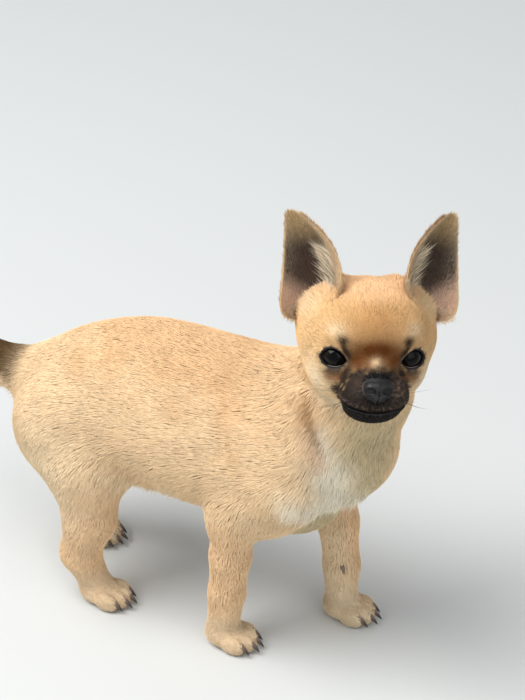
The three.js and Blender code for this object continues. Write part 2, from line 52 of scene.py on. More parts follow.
MM = 0.001
SIDES = {"right": -1, "left": 1}
BACK = 167.0
BELLY = 75.0
BRISKET = 66.0
CHEST_FRONT = 113.0
BUTTOCK = -99.0
TAIL_LENGTH = 105.0
HEAD_AT = np.array([104.8, -4.2, 199.0])
EYE_AT = np.array([17.4, 17.0, -5.4])
EYE_RADIUS = 8.4
NOSE_AT = np.array([43.0, 0.0, -15.0])
MOUTH_HEIGHT = -27.4
SOLE = 0.05


def ellipsoid(centre, radii, blend=12.0, tilt=0.0):
    """Distance k0 (k0 - 1) / k1: k0 is the length of the place over the radii, k1 that of the place
    over their squares. The blend is how widely the form melts into those before it."""
    cos, sin = math.cos(math.radians(tilt)), math.sin(math.radians(tilt))

    def distance(x, y, z):
        dx, dz = x - centre[0], z - centre[2]
        u = (cos * dx + sin * dz) / radii[0]
        v = (y - centre[1]) / radii[1]
        w = (cos * dz - sin * dx) / radii[2]
        k0 = np.sqrt(u * u + v * v + w * w)
        k1 = np.sqrt((u / radii[0]) ** 2 + (v / radii[1]) ** 2 + (w / radii[2]) ** 2)
        return k0 * (k0 - 1) / np.maximum(k1, 1e-6)

    return distance, blend


def bone(start, end, start_radius, end_radius, blend=12.0):
    """Distance to the nearest point of a straight line, less a radius that changes along it."""
    start = np.array(start, float)
    axis = np.array(end, float) - start
    square = axis @ axis

    def distance(x, y, z):
        dx, dy, dz = x - start[0], y - start[1], z - start[2]
        t = np.clip((dx * axis[0] + dy * axis[1] + dz * axis[2]) / square, 0, 1)
        away = (dx - axis[0] * t) ** 2 + (dy - axis[1] * t) ** 2 + (dz - axis[2] * t) ** 2
        return np.sqrt(away) - (start_radius + (end_radius - start_radius) * t)

    return distance, blend


def smooth_min(a, b, blend):
    """The lesser of two distances, rounded off where they differ by less than the blend."""
    h = np.maximum(blend - np.abs(a - b), 0) / blend
    return np.minimum(a, b) - h * h * blend / 4


def union(forms, places):
    """Distance to forms melted together one after the other, each by its own blend."""
    x, y, z = places[..., 0], places[..., 1], places[..., 2]
    total = forms[0][0](x, y, z)
    for distance, blend in forms[1:]:
        total = smooth_min(total, distance(x, y, z), blend)
    return total


def step(low, high, value):
    """From 0 at low to 1 at high along t t (3 - 2 t)."""
    t = np.clip((value - low) / (high - low), 0, 1)
    return t * t * (3 - 2 * t)


def unit(vectors):
    """Each vector over its own length."""
    return vectors / np.maximum(np.linalg.norm(vectors, axis=-1, keepdims=True), 1e-9)


def turned(axis, degrees):
    """The matrix of a turn about one axis."""
    one, two = {"x": (1, 2), "y": (2, 0), "z": (0, 1)}[axis]
    angle = math.radians(degrees)
    matrix = np.eye(3)
    matrix[one, one] = matrix[two, two] = math.cos(angle)
    matrix[two, one] = math.sin(angle)
    matrix[one, two] = -math.sin(angle)
    return matrix


middle = (BACK + BELLY) / 2
trunk = [
    ellipsoid((30, 0, middle - 3), (64, 38, 47.5)),
    ellipsoid((-8, 0, middle), (62, 37, 45.5)),
    ellipsoid((BUTTOCK + 41.5, 0, 105.5), (39.5, 33, 35.5), 26),
    ellipsoid((44, 0, 138), (40, 24, 28)),
    ellipsoid((CHEST_FRONT - 28, 6, 124), (32, 31, 31)),
    ellipsoid((56, 0, BRISKET + 22), (33, 22, 22)),
]
for side in SIDES.values():
    trunk.append(ellipsoid((62, side * 25, 112), (26, 14, 36), 12, -18))
    trunk.append(ellipsoid((-55.5, side * 24, 100), (32, 17, 31), 12, 15))

# The turned head gathers the loose skin of the right side of the neck into one upright fold.
neck = [
    bone((66, 3, 130), (94, 6, 160), 35, 27.5, 14),
    bone((94, 6, 160), (97, 4, 182), 27.5, 22, 12),
    bone((80, -18.5, 163), (86, -23, 133), 6.8, 8.2, 2.5),
]


TAIL_ROOT = -86.0
TAIL_REACH = 0.88 * TAIL_LENGTH
TAIL_HEIGHT = 114.5
TAIL_RISE = 56.5
TAIL_SWING = 10.0
TAIL_STEPS = 6


def tail_point(s):
    """The tail's axis: level backwards, then up with the fourth power of s and left with its square."""
    s = np.asarray(s, float)
    return np.stack([TAIL_ROOT - TAIL_REACH * s, TAIL_SWING * s * s, TAIL_HEIGHT + TAIL_RISE * s**4], -1)


def along_tail(x):
    """From 0 at the tail's root to 1 at its tip."""
    return np.clip((TAIL_ROOT - x) / TAIL_REACH, 0, 1)


tail_ends = [(tail_point(s), 13.2 - 9.7 * s) for s in np.linspace(0, 1, TAIL_STEPS + 1)]
tail = [
    bone(a, b, ra, rb, 14 if i == 0 else 3)
    for i, ((a, ra), (b, rb)) in enumerate(zip(tail_ends, tail_ends[1:]))
]

FORELEGS = {
    "right": {"side": -1, "elbow": (43, -27, 84), "arm": (41, -26.5, 58), "wrist": (38.5, -26, 33)},
    "left": {"side": 1, "elbow": (73, 26, 84), "arm": (77, 25.5, 58), "wrist": (79.5, 25, 32)},
}
HINDLEGS = {
    "right": {"knee": (-44, -26, 84), "shank": (-42.5, -28, 54), "hock": (-49, -28, 30)},
    "left": {"knee": (-53, 26, 84), "shank": (-64, 26, 54), "hock": (-84, 24, 31)},
}
PAWS = {
    "fore_right": (37, -26), "fore_left": (81, 24), "hind_right": (-40, -25), "hind_left": (-73, 22),
}
TOES = (-1.5, -0.5, 0.5, 1.5)


def toe_at(paw, toe):
    """The middle two toes stand ahead of the outer two."""
    return (paw[0] + 12 - 3.4 * (abs(toe) - 0.5), paw[1] + toe * 4.9, 5)


def paw_forms(paw):
    toes = [ellipsoid(toe_at(paw, toe), (6.8, 3.5, 5.4), 1.6) for toe in TOES]
    return [ellipsoid((paw[0] + 1, paw[1], 6), (12, 9.6, 7), 4)] + toes


limbs = {}
for name, leg in FORELEGS.items():
    paw = PAWS["fore_" + name]
    limbs["foreleg_" + name] = [
        bone((70, leg["side"] * 24, 108), leg["elbow"], 17, 12.5, 10),
        bone(leg["elbow"], leg["arm"], 12, 10.4, 8),
        bone(leg["arm"], leg["wrist"], 10.6, 9.4, 4),
        bone(leg["wrist"], (paw[0] - 1, paw[1], 12), 9.4, 8.6, 4),
    ] + paw_forms(paw)
for name, leg in HINDLEGS.items():
    paw = PAWS["hind_" + name]
    limbs["hindleg_" + name] = [
        bone(leg["knee"], leg["shank"], 21, 13.5, 12),
        bone(leg["shank"], leg["hock"], 13.5, 10.5, 6),
        bone(leg["hock"], (paw[0] - 3, paw[1], 12), 10, 8.4, 5),
    ] + paw_forms(paw)
body_forms = trunk + neck + tail + [form for limb in limbs.values() for form in limb]

head_forms = [
    ellipsoid((-4, 0, 1), (34, 31, 27), 10),
    ellipsoid((10, 0, 6), (23, 25, 20), 10),
    ellipsoid((10, 0, -20), (21, 19, 14), 10),
    bone((22, 0, -9), (39, 0, -14), 9, 6.5, 7),
    ellipsoid((29, 0, -18), (16, 14, 10), 6),
    ellipsoid((26.5, 0, -28.2), (14.5, 14, 7.6), 3.5),
]
LID_RADII = (EYE_RADIUS + 1.5, EYE_RADIUS + 1.5, EYE_RADIUS + 1)
for side in SIDES.values():
    head_forms += [
        ellipsoid((3, side * 16.5, -12), (20, 12.5, 15), 10),
        ellipsoid((20, side * 12, 4), (10, 9, 7), 6),
        ellipsoid((33.5, side * 8, -21), (10.5, 8.8, 8), 4),
        bone((-3, side * 17, 21.5), (-11.5, side * 29, 11), 5.5, 6.5, 10),
        ellipsoid((2, side * 27, 2), (10, 6, 9), 8),
        ellipsoid(EYE_AT * (1, side, 1), LID_RADII, 3),
    ]

# The head turns on the neck, and the right eyeball of the frame says where the drawn sizes stand.
HEAD_TURN = turned("z", -55) @ turned("y", -18.4) @ turned("x", -4.7)
HEAD_BLEND = 9.0


def to_head(places):
    return (places - HEAD_AT) @ HEAD_TURN


def from_head(places):
    return places @ HEAD_TURN.T + HEAD_AT


ball_low, ball_high = (np.array(corner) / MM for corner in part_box("eye_right"))
STAND = (ball_low + ball_high) / 2 - from_head(EYE_AT * (1, -1, 1))


def both_distances(places):
    return union(body_forms, places), union(head_forms, to_head(places))


def dog_distance(places):
    """Distance to the outside of the coat, with the head melted into the neck."""
    return smooth_min(*both_distances(places), HEAD_BLEND)


def slope_of(distance, places, reach=0.2):
    """The slope of a distance, from its values a little to each side along the three axes."""
    sides = [distance(places + reach * axis) - distance(places - reach * axis) for axis in np.eye(3)]
    return np.stack(sides, -1) / (2 * reach)


BODY_DEPTH = 1.3
HEAD_THINNER = 0.8
MUZZLE_THINNER = 0.22
FOOT_DEPTH = 0.45


def coat_depth(places, body, head):
    """The depth of the hair: full on the body, thin on the face and feet, least on the muzzle."""
    q = to_head(places)
    near_head = step(-6, 6, body - head)
    depth = BODY_DEPTH - HEAD_THINNER * near_head
    depth -= MUZZLE_THINNER * near_head * step(20, 32, q[..., 0])
    near_feet = 1 - step(16, 44, places[..., 2])
    return depth + (FOOT_DEPTH - depth) * near_feet


# Each eye opens in an almond, drawn on a plane that faces outwards and a little up.
EYE_OUTWARD = 20.0
EYE_UPWARD = 4.0
ALMOND_MIDDLE = -0.3
ALMOND_HALF_LENGTH = 6.8
INNER_CORNER_DROP = 0.9
UPPER_LID_RISE = 5.2
LOWER_LID_RISE = -4.7


def lid_curve(rise, count):
    """A lid's edge from the inner to the outer corner, along half a turn: the length goes with the
    cosine, the height with the sine to the power 1.3, and the inner corner hangs a little lower."""
    turn = np.linspace(0, math.pi, count)
    height = rise * np.sin(turn) ** 1.3 - INNER_CORNER_DROP * np.cos(turn / 2) ** 2
    return np.stack([ALMOND_MIDDLE - ALMOND_HALF_LENGTH * np.cos(turn), height], -1)


def eye_axes(side):
    """Ahead, outward and up for one eye, as rows in the head's frame."""
    axes = turned("z", side * EYE_OUTWARD) @ turned("y", -EYE_UPWARD)
    return np.stack([axes[:, 0], side * axes[:, 1], axes[:, 2]])


def eye_opening(q, side):
    """How far a place lies outside the almond's outline, and how far ahead of the eye's centre."""
    ahead, outward, up = np.moveaxis((q - EYE_AT * (1, side, 1)) @ eye_axes(side).T, -1, 0)
    upper, lower = lid_curve(UPPER_LID_RISE, 41), lid_curve(LOWER_LID_RISE, 41)
    over = up - np.interp(outward, *upper.T)
    under = np.interp(outward, *lower.T) - up
    beyond = np.abs(outward - ALMOND_MIDDLE) - ALMOND_HALF_LENGTH
    return np.maximum(np.maximum(over, under), beyond), ahead


def lid_rim(q):
    """How far a place lies outside the opening of the nearer eye."""
    return np.minimum(eye_opening(q, -1)[0], eye_opening(q, 1)[0])


LIP_GAP = 0.85
LIP_CORNER_RISE = 3.4
LIP_DEPTH = 1.8
LIPS_FROM = 25
GROOVE_FROM = 38
GROOVE_HALF_WIDTH = 0.3
NOWHERE = -9


def lip_height(y):
    """The line of the mouth rises from the middle to its corners with the square of y."""
    return MOUTH_HEIGHT + LIP_CORNER_RISE * (y / 15) ** 2


def skin_distance(places):
    """The coat's outside less its depth, cut by the mouth and the lids, and level under the soles."""
    q = to_head(places)
    body, head = both_distances(places)
    skin = smooth_min(body, head, HEAD_BLEND) + coat_depth(places, body, head)
    x, y, z = q[..., 0], q[..., 1], q[..., 2]
    lips = np.where(x > LIPS_FROM, LIP_GAP - np.abs(z - lip_height(y)), NOWHERE)
    under_nose = (x > GROOVE_FROM) & (z > lip_height(y)) & (z < NOSE_AT[2])
    groove = np.where(under_nose, GROOVE_HALF_WIDTH - np.abs(y), NOWHERE)
    skin = np.maximum(skin, np.minimum(np.maximum(lips, groove), skin + LIP_DEPTH))
    for side in SIDES.values():
        outside, ahead = eye_opening(q, side)
        skin = np.maximum(skin, -np.maximum(outside, -ahead))
    return np.maximum(skin, SOLE - places[..., 2])


ROUGH_STEP = 4


def lines_through(stops):
    """Grid lines from one stop to the next, each stretch with its own spacing, and a few more at
    the end, so that they can be taken by the rough step."""
    stretches = [np.arange(low, high, gap) for (low, gap), (high, _) in zip(stops, stops[1:])]
    lines = np.concatenate(stretches)
    spare = -len(lines) % ROUGH_STEP
    return np.concatenate([lines, lines[-1] + stops[-2][1] * np.arange(1, spare + 1)])


def level_mesh(distance, lines, band):
    """The surface where a distance is zero: one point in each grid cell that it crosses, at the
    mean of the crossings of its edges, then drawn onto the level along the slope, and two
    triangles round each grid edge that it crosses. A block of cells shares one distance, unless it
    is nearer than the band."""
    rough = [line.reshape(-1, ROUGH_STEP).mean(1) for line in lines]
    far = distance(np.stack(np.meshgrid(*rough, indexing="ij"), -1))
    values = far.repeat(ROUGH_STEP, 0).repeat(ROUGH_STEP, 1).repeat(ROUGH_STEP, 2)
    near = np.nonzero(np.abs(values) < band)
    values[near] = distance(np.stack([line[i] for line, i in zip(lines, near)], -1))
    inside = values < 0
    corners = [(a, b, c) for a in (0, 1) for b in (0, 1) for c in (0, 1)]
    cells = tuple(n - 1 for n in values.shape)
    count = sum(
        inside[a : cells[0] + a, b : cells[1] + b, c : cells[2] + c].astype(np.int8)
        for a, b, c in corners
    )
    cell = np.nonzero((count > 0) & (count < 8))
    number = np.full(cells, -1, np.int32)
    number[cell] = np.arange(len(cell[0]))
    points = np.zeros((len(cell[0]), 3))
    crossings = np.zeros((len(cell[0]), 1))
    for axis in range(3):
        for corner in corners:
            if corner[axis]:
                continue
            start = tuple(i + c for i, c in zip(cell, corner))
            end = tuple(i + (a == axis) for a, i in enumerate(start))
            one, two = values[start], values[end]
            crossed = (one < 0) != (two < 0)
            share = np.where(crossed, one / np.where(crossed, one - two, 1), 0)[:, None]
            place = np.stack([line[i] for line, i in zip(lines, start)], -1)
            ahead = np.stack([line[i] for line, i in zip(lines, end)], -1)
            points += np.where(crossed[:, None], place + share * (ahead - place), 0)
            crossings += crossed[:, None]
    points /= crossings
    low = np.stack([line[i] for line, i in zip(lines, cell)], -1)
    high = np.stack([line[i + 1] for line, i in zip(lines, cell)], -1)
    for _ in range(2):
        slope = slope_of(distance, points)
        square = np.maximum((slope**2).sum(-1), 0.2)
        points = np.clip(points - slope * (distance(points) / square)[:, None], low, high)
    faces = []
    for axis in range(3):
        along = [slice(None)] * 3
        along[axis] = slice(0, -1)
        beyond = [slice(None)] * 3
        beyond[axis] = slice(1, None)
        edge = np.nonzero(inside[tuple(along)] != inside[tuple(beyond)])
        solid = inside[tuple(along)][edge]
        ring = []
        for u, w in ((-1, -1), (0, -1), (0, 0), (-1, 0)):
            index = list(edge)
            index[(axis + 1) % 3] = index[(axis + 1) % 3] + u
            index[(axis + 2) % 3] = index[(axis + 2) % 3] + w
            ring.append(number[tuple(index)])
        ring = np.stack(ring, -1)
        ring[~solid] = ring[~solid, ::-1]
        faces.append(ring)
    a, b, c, d = np.concatenate(faces).T
    first = np.linalg.norm(points[a] - points[c], axis=-1)
    second = np.linalg.norm(points[b] - points[d], axis=-1)
    short = (first < second)[:, None]
    one = np.where(short, np.stack([a, b, c], -1), np.stack([a, b, d], -1))
    two = np.where(short, np.stack([a, c, d], -1), np.stack([b, c, d], -1))
    return points, np.concatenate([one, two])


def ripple(places, size, seed):
    """A smooth random value about -1 to 1: the sum of waves of about one size in seeded directions."""
    draw = np.random.default_rng(seed)
    waves = unit(draw.normal(size=(14, 3))) * draw.uniform(0.6, 1.6, (14, 1)) * 2 * math.pi / size
    phases = draw.uniform(0, 2 * math.pi, 14)
    return np.sin(places @ waves.T + phases).sum(-1) / math.sqrt(14)


def tint(red, green, blue):
    """A colour as seen on a screen, 0 to 255, as the linear values that a shader takes."""
    value = np.array([red, green, blue]) / 255
    return np.where(value > 0.04045, ((value + 0.055) / 1.055) ** 2.4, value / 12.92)


def wash(colour, paint, share):
    """Colours part of the way to a paint."""
    return colour + (paint - colour) * np.clip(share, 0, 1)[..., None]


def spot(places, centre, radii):
    """A soft spot: one at its centre, falling off with the square of the distance over the radii."""
    return np.exp(-(((places - np.array(centre)) / np.array(radii)) ** 2).sum(-1))


# The colours of the hair and of the bare skin, as seen in soft daylight.
FAWN_BACK = tint(221, 184, 140)
FAWN_SIDE = tint(235, 205, 164)
CREAM = tint(236, 217, 184)
SHADED_THROAT_CREAM = tint(206, 188, 150)
WHITE_HAIR = tint(240, 230, 208)
LEG_FAWN = tint(238, 203, 160)
PAW_CREAM = tint(230, 204, 168)
FOREHEAD_TAN = tint(206, 156, 100)
CROWN_FAWN = tint(236, 192, 146)
TEMPLE_FAWN = tint(222, 182, 130)
BRIDGE_TAN = tint(182, 140, 98)
STOP_TUFT_FAWN = tint(240, 208, 164)
RUST = tint(112, 60, 14)
BROW_DARK = tint(52, 33, 23)
EYE_BLACK = tint(28, 21, 19)
MASK_BLACK = tint(36, 30, 25)
MASK_BROWN = tint(84, 67, 56)
MASK_PINK = tint(158, 132, 114)
LIP_BLACK = tint(12, 10, 9)
TAIL_BROWN = tint(82, 60, 34)
WARM_FAWN_AND_SHADE = tint(200, 140, 84)
DUSKY_FAWN = tint(150, 120, 78)
CREASE_SHADE_BROWN = tint(124, 94, 50)
SOLE_BLACK = tint(40, 33, 32)

PART_NAMES = ["trunk", "neck", "tail", *limbs, "head"]
part_forms = [trunk, neck, tail, *limbs.values()]


def part_shares(places):
    """How much of each part a place belongs to: exp(-distance / 3 mm), the shares summing to one."""
    distances = [union(forms, places) for forms in part_forms] + [union(head_forms, to_head(places))]
    distances = np.stack(distances, -1)
    share = np.exp((distances.min(-1, keepdims=True) - distances) / 3)
    return dict(zip(PART_NAMES, (share / share.sum(-1, keepdims=True)).T))


def muzzle_mask(q):
    """One on the black muzzle, an ellipse seen from ahead that ends where the cheeks begin, and zero
    off it. Its edge is softer above than at the sides."""
    edge = np.sqrt((q[:, 1] / 17.8) ** 2 + ((q[:, 2] + 23.6) / 17) ** 2) + 0.04 * ripple(q, 4, 11)
    soft = 0.06 + 0.09 * step(-14, -6, q[:, 2])
    return (1 - step(-soft, soft, edge - 1)) * step(21.8, 25.5, q[:, 0] + ripple(q, 6, 12))


def near_line(places, start, end, width):
    """One on a straight line and falling off with the square of the distance from it."""
    away = bone(start, end, 0, 0)[0](*places.T)
    return np.exp(-((away / width) ** 2))


def painted(colour, places, within, strokes):
    """Colours washed with one stroke after another, within a share of each place. A stroke has a
    paint and its share, then a spot's centre and radii, or a line's two ends and its width."""
    for paint, share, *shape in strokes:
        mark = spot if len(shape) == 2 else near_line
        colour = wash(colour, paint, share * mark(places, *shape) * within)
    return colour


# White hair on the chest and brisket, and painted shade along the fold at the neck, darkest in its
# crease.
BRISKET_LOCKS = ((82, -34, 112), (106, -8, 109))
CHEST_STROKES = [
    (WHITE_HAIR, 1, (93, -25, 152), (98, -24, 130), 7),
    (WHITE_HAIR, 1, (98, -24, 130), (100, -20, 108), 10),
    (WHITE_HAIR, 1, *BRISKET_LOCKS, 7),
]
FOLD_SHADE_STROKES = [
    (WARM_FAWN_AND_SHADE, 0.5, (85, -23, 166), (94, -28, 138), 5),
    (CREASE_SHADE_BROWN, 0.6, (85, -22.6, 166), (93.5, -26, 147), 2.2),
]
# Strokes on the face count y outwards from its middle, so that both sides match.
FACE_STROKES = [
    (CREAM, 0.8, (17, 25, -18), (12, 12, 11)),
    (CREAM, 0.55, (2, 27, 14), (9, 7, 8)),
    (BRIDGE_TAN, 0.9, (37, 4, -7), (6, 8, 4)),
    (RUST, 1.15, (33, 0, 0), (12, 13, 6)),
    (RUST, 0.95, (32, 8.5, -5.4), (9, 6, 6)),
    (RUST, 0.85, (30.4, 13, -13.2), (25.6, 19.5, -14.4), 3.4),
    (STOP_TUFT_FAWN, 1, (36.4, 0, -5.6), (5, 2.2, 2.7)),
    (CREAM, 0.55, (29, 18.5, 8), (7, 4.5, 3.6)),
    (BROW_DARK, 0.9, (31.3, 15.3, 4.2), (5, 2.9, 2.2)),
    (BROW_DARK, 0.95, (31, 14.9, 4), (30.3, 14.2, -1), 1.6),
]
EYE_CORNER_STROKES = [
    (EYE_BLACK, 0.92, (30.4, 13.0, -1), (29.6, 12.2, -11.6), 2.0),
    (BROW_DARK, 0.85, (29, 14, -11.4), (24.2, 21, -11), 1.9),
]


def body_markings(places, shares):
    """The pattern of the body, washed on in turn: back and sides, legs, chest, painted shade on the
    throat, behind the shoulders, before the thighs and along the neck fold, a darker spot on the
    right haunch, painted light low on the thighs, and tail.
    """
    x, y, z = places.T
    off_head = 1 - shares["head"]
    height = z + 5 * ripple(places, 30, 1)
    colour = wash(np.tile(FAWN_BACK, (len(places), 1)), FAWN_SIDE, step(162, 132, height))
    colour = wash(colour, FAWN_SIDE, 0.7 * step(36, 66, x))
    colour = wash(colour, CREAM, 0.8 * step(98, 80, height) * shares["trunk"])
    legs = sum(shares[name] for name in limbs)
    colour = wash(colour, LEG_FAWN, legs * step(96, 84, z))
    colour = wash(colour, PAW_CREAM, legs * step(34, 14, z))
    inner_leg = step(6, -4, np.abs(y) - 24 + 0.1 * z)
    colour = wash(colour, CREAM, 0.6 * legs * inner_leg)
    # The throat and chest front are cream hair, darkened as painted shade under the head.
    bib = bone((110, -6, 158), (90, -10, 86), 10, 15)[0](x, y, z) + 3 * ripple(places, 14, 2)
    colour = wash(colour, SHADED_THROAT_CREAM, step(12, -2, bib) * off_head)
    colour = painted(colour, places, off_head, CHEST_STROKES)
    # Painted shade in the valley behind each shoulder and in the crease before each thigh.
    for side in SIDES.values():
        colour = painted(colour, places, shares["trunk"] + shares["neck"], [
            (WARM_FAWN_AND_SHADE, 0.16, (42, side * 22, 160), (56, side * 38, 126), 7),
            (DUSKY_FAWN, 0.1, (-36, side * 36, 128), (-22, side * 34, 92), 7),
        ])
    # Painted shade along the fold at the neck, darkest in its crease.
    colour = painted(colour, places, off_head, FOLD_SHADE_STROKES)
    # A darker spot on the right haunch.
    colour = painted(colour, places, 1, [(DUSKY_FAWN, 0.2, (-48, -39, 118), (12, 12, 8))])
    # A paler patch low on the outside of each thigh is painted light; a warmer spot lies behind each
    # shank.
    for side in SIDES.values():
        colour = painted(colour, places, 1, [
            (CREAM, 0.7, (-55, side * 38, 84), (24, 16, 34)),
            (WARM_FAWN_AND_SHADE, 0.2, (-60, side * 30, 58), (9, 14, 15)),
        ])
    tail_share = shares["tail"] * step(-80, -92, x)
    s = along_tail(x)
    on_top = step(-1.5, 4, z - tail_point(s)[:, 2] + 4 * s + 1.5 * ripple(places, 7, 3))
    return wash(colour, TAIL_BROWN, tail_share * on_top)


def face_markings(q):
    """The pattern of the head, washed on in turn: crown and cheeks, brows, lids, mask and lips."""
    m = q * (1, 0, 1) + np.abs(q) * (0, 1, 0)
    forehead = spot(m, (26, 0, 12), (18, 15, 14))
    face = wash(np.tile(TEMPLE_FAWN, (len(q), 1)), FOREHEAD_TAN, forehead)
    face = wash(face, CROWN_FAWN, 0.9 * step(17, 26, q[:, 2]))
    face = wash(face, CREAM, 0.9 * step(-22, -32, q[:, 2]) * step(30, 18, q[:, 0]))
    face = painted(face, m, 1, FACE_STROKES)
    rim = lid_rim(q) + 0.3 * ripple(q, 3, 4)
    face = wash(face, EYE_BLACK, 0.97 * step(1.3, 0.4, rim) * step(4, 10, q[:, 0]))
    face = painted(face, m, 1, EYE_CORNER_STROKES)
    mask = muzzle_mask(q)
    face = wash(face, MASK_BLACK, mask)
    face = wash(face, MASK_BROWN, 0.45 * mask * step(0, 1.2, ripple(q, 1.5, 6)))
    face = wash(face, MASK_BROWN, 0.6 * mask * spot(m, (41, 9, -14.5), (7, 4.5, 4)))
    specks = step(0.1, 1.0, ripple(q, 1.8, 5))
    face = wash(face, MASK_PINK, 0.6 * mask * specks * spot(q, (42, 9.5, -15.5), (6, 4.5, 5.5)))
    over_lip = q[:, 2] - lip_height(q[:, 1])
    lip_skin = step(1.9, 1.2, np.abs(over_lip)) * step(24, 28, q[:, 0])
    under_pad = step(8, 6.5, np.linalg.norm(q - NOSE_AT, axis=-1))
    face = wash(face, LIP_BLACK, np.maximum(lip_skin, under_pad))
    face = wash(face, LIP_BLACK, 0.8 * mask * step(-1, -3, over_lip))
    lip_hair = np.exp(-(((over_lip - 2.7) / 0.8) ** 2)) * step(26, 32, q[:, 0])
    return wash(face, MASK_PINK, 0.5 * mask * step(-0.3, 0.8, ripple(q, 1.3, 8)) * lip_hair)


def markings(places, shares):
    """Body and face by the share of the head, black soles, and a faint unevenness all over."""
    colour = body_markings(places, shares)
    colour += (face_markings(to_head(places)) - colour) * shares["head"][:, None]
    colour = wash(colour, SOLE_BLACK, step(1.6, 0.8, places[:, 2]))
    shade = 1 + 0.035 * ripple(places, 18, 6) + 0.03 * ripple(places, 5, 7)
    return np.clip(colour * shade[:, None], 0, 1)


def piece_of(name, points, faces, finish, colours=None):
    """A piece from points in drawn millimetres, faces as rows of corners, and a colour a point."""
    faces = np.asarray(faces, np.int32)
    mesh = bpy.data.meshes.new(name)
    mesh.vertices.add(len(points))
    mesh.vertices.foreach_set("co", ((np.asarray(points) + STAND) * MM).astype(np.float32).ravel())
    mesh.loops.add(faces.size)
    mesh.loops.foreach_set("vertex_index", faces.ravel())
    mesh.polygons.add(len(faces))
    starts = np.arange(0, faces.size, faces.shape[1], dtype=np.int32)
    mesh.polygons.foreach_set("loop_start", starts)
    mesh.polygons.foreach_set("use_smooth", np.ones(len(faces), bool))
    mesh.update(calc_edges=True)
    mesh.materials.append(finish)
    if colours is not None:
        opaque = np.concatenate([colours, np.ones((len(points), 1))], -1)
        layer = mesh.color_attributes.new("Colour", "FLOAT_COLOR", "POINT")
        layer.data.foreach_set("color", opaque.astype(np.float32).ravel())
    piece = bpy.data.objects.new(name, mesh)
    bpy.context.scene.collection.objects.link(piece)
    return piece


def painted_finish(name, bump=0.0, bump_size=1.0, bump_stretch=(1, 1, 1), mottle=0.12, **sockets):
    """A finish that takes its colour from the piece's colours, mottled by a fine noise, with a
    bump of grains about bump_size millimetres across."""
    finish = bpy.data.materials.new(name)
    finish.use_nodes = True
    nodes, links = finish.node_tree.nodes, finish.node_tree.links
    shader = nodes["Principled BSDF"]
    for socket, value in sockets.items():
        shader.inputs[socket.replace("_", " ").title().replace("Ior", "IOR")].default_value = value
    colours = nodes.new("ShaderNodeAttribute")
    colours.attribute_name = "Colour"
    place = nodes.new("ShaderNodeTexCoord")
    stretch = nodes.new("ShaderNodeMapping")
    stretch.inputs["Scale"].default_value = bump_stretch
    links.new(place.outputs["Object"], stretch.inputs["Vector"])
    grain = nodes.new("ShaderNodeTexNoise")
    grain.inputs["Scale"].default_value = 1 / (bump_size * MM)
    grain.inputs["Detail"].default_value = 4
    links.new(stretch.outputs["Vector"], grain.inputs["Vector"])
    spread = nodes.new("ShaderNodeMapRange")
    spread.inputs["To Min"].default_value = 1 - mottle
    spread.inputs["To Max"].default_value = 1 + mottle
    spread.inputs["From Min"].default_value = 0.25
    spread.inputs["From Max"].default_value = 0.75
    links.new(grain.outputs["Fac"], spread.inputs["Value"])
    toned = nodes.new("ShaderNodeVectorMath")
    toned.operation = "SCALE"
    links.new(colours.outputs["Color"], toned.inputs[0])
    links.new(spread.outputs["Result"], toned.inputs["Scale"])
    links.new(toned.outputs["Vector"], shader.inputs["Base Color"])
    if bump:
        raised = nodes.new("ShaderNodeBump")
        raised.inputs["Distance"].default_value = bump * MM
        links.new(grain.outputs["Fac"], raised.inputs["Height"])
        links.new(raised.outputs["Normal"], shader.inputs["Normal"])
    return finish


skin_lines = [
    lines_through([(-186, 2.0), (84, 1.1), (90, 0.64), (141, 1.3), (162, 0)]),
    lines_through([(-62, 1.3), (-50, 0.7), (-2, 1.3), (62, 0)]),
    lines_through([(-2, 1.9), (160, 1.0), (178, 0.64), (207, 1.0), (238, 1.3), (246, 0)]),
]
SKIN_BAND = 7.0
HIDE_SHADE = 0.92
skin_points, skin_faces = level_mesh(skin_distance, skin_lines, SKIN_BAND)
skin_shares = part_shares(skin_points)
skin_finish = painted_finish("hide", bump=0.25, bump_size=0.9, roughness=0.7)
skin_colours = markings(skin_points, skin_shares)
skin = piece_of("skin", skin_points, skin_faces, skin_finish, HIDE_SHADE * skin_colours)
flesh_nodes = ["head", "torso", "neck", "tail"]
for name in SIDES:
    flesh_nodes += [f"{part}_{name}" for part in ("foreleg", "forepaw", "thigh", "shank", "hindpaw")]
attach(skin, "root")
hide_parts(*flesh_nodes)

# The ears
# Each ear is a leaf of thin gristle and skin, bent into a cup that opens forwards: velvet on the
# back, almost bare inside with painted shade in the middle of the cup, pink at its root. It grows
# from the side of the skull.

EAR_ROOT = np.array([-7.0, 27.0, 9.0])
EAR_TIP = np.array([-4.0, 40.0, 60.5])
EAR_BOW = {"right": 7.6, "left": 5.8}
EAR_HALF_WIDTH = 15.8
EAR_WIDEST = 0.68
EAR_LOBE = 0.335
EAR_THICKNESS = 1.8
EAR_OUTWARD = 24.0
EAR_INSET = 0.6
EAR_HOLLOW_SHADE = tint(60, 41, 31)
EAR_TIP_BROWN = tint(200, 170, 124)
EAR_MARGIN = tint(204, 178, 144)
EAR_PINK = tint(212, 176, 154)
EAR_BACK = tint(204, 166, 118)


def ear_axes(side):
    """Up from root to tip, facing forwards and outwards, and across towards the outer edge."""
    up = unit((EAR_TIP - EAR_ROOT) * (1, side, 1))
    outward = math.radians(EAR_OUTWARD)
    facing = np.array([math.cos(outward), side * math.sin(outward), 0])
    facing = unit(facing - up * (facing @ up))
    return up, facing, np.cross(up, facing) * side


def ear_bend(s):
    """Half the angle through which the leaf bends, which grows with the square of s."""
    return np.radians(32 + 78 * s * s)


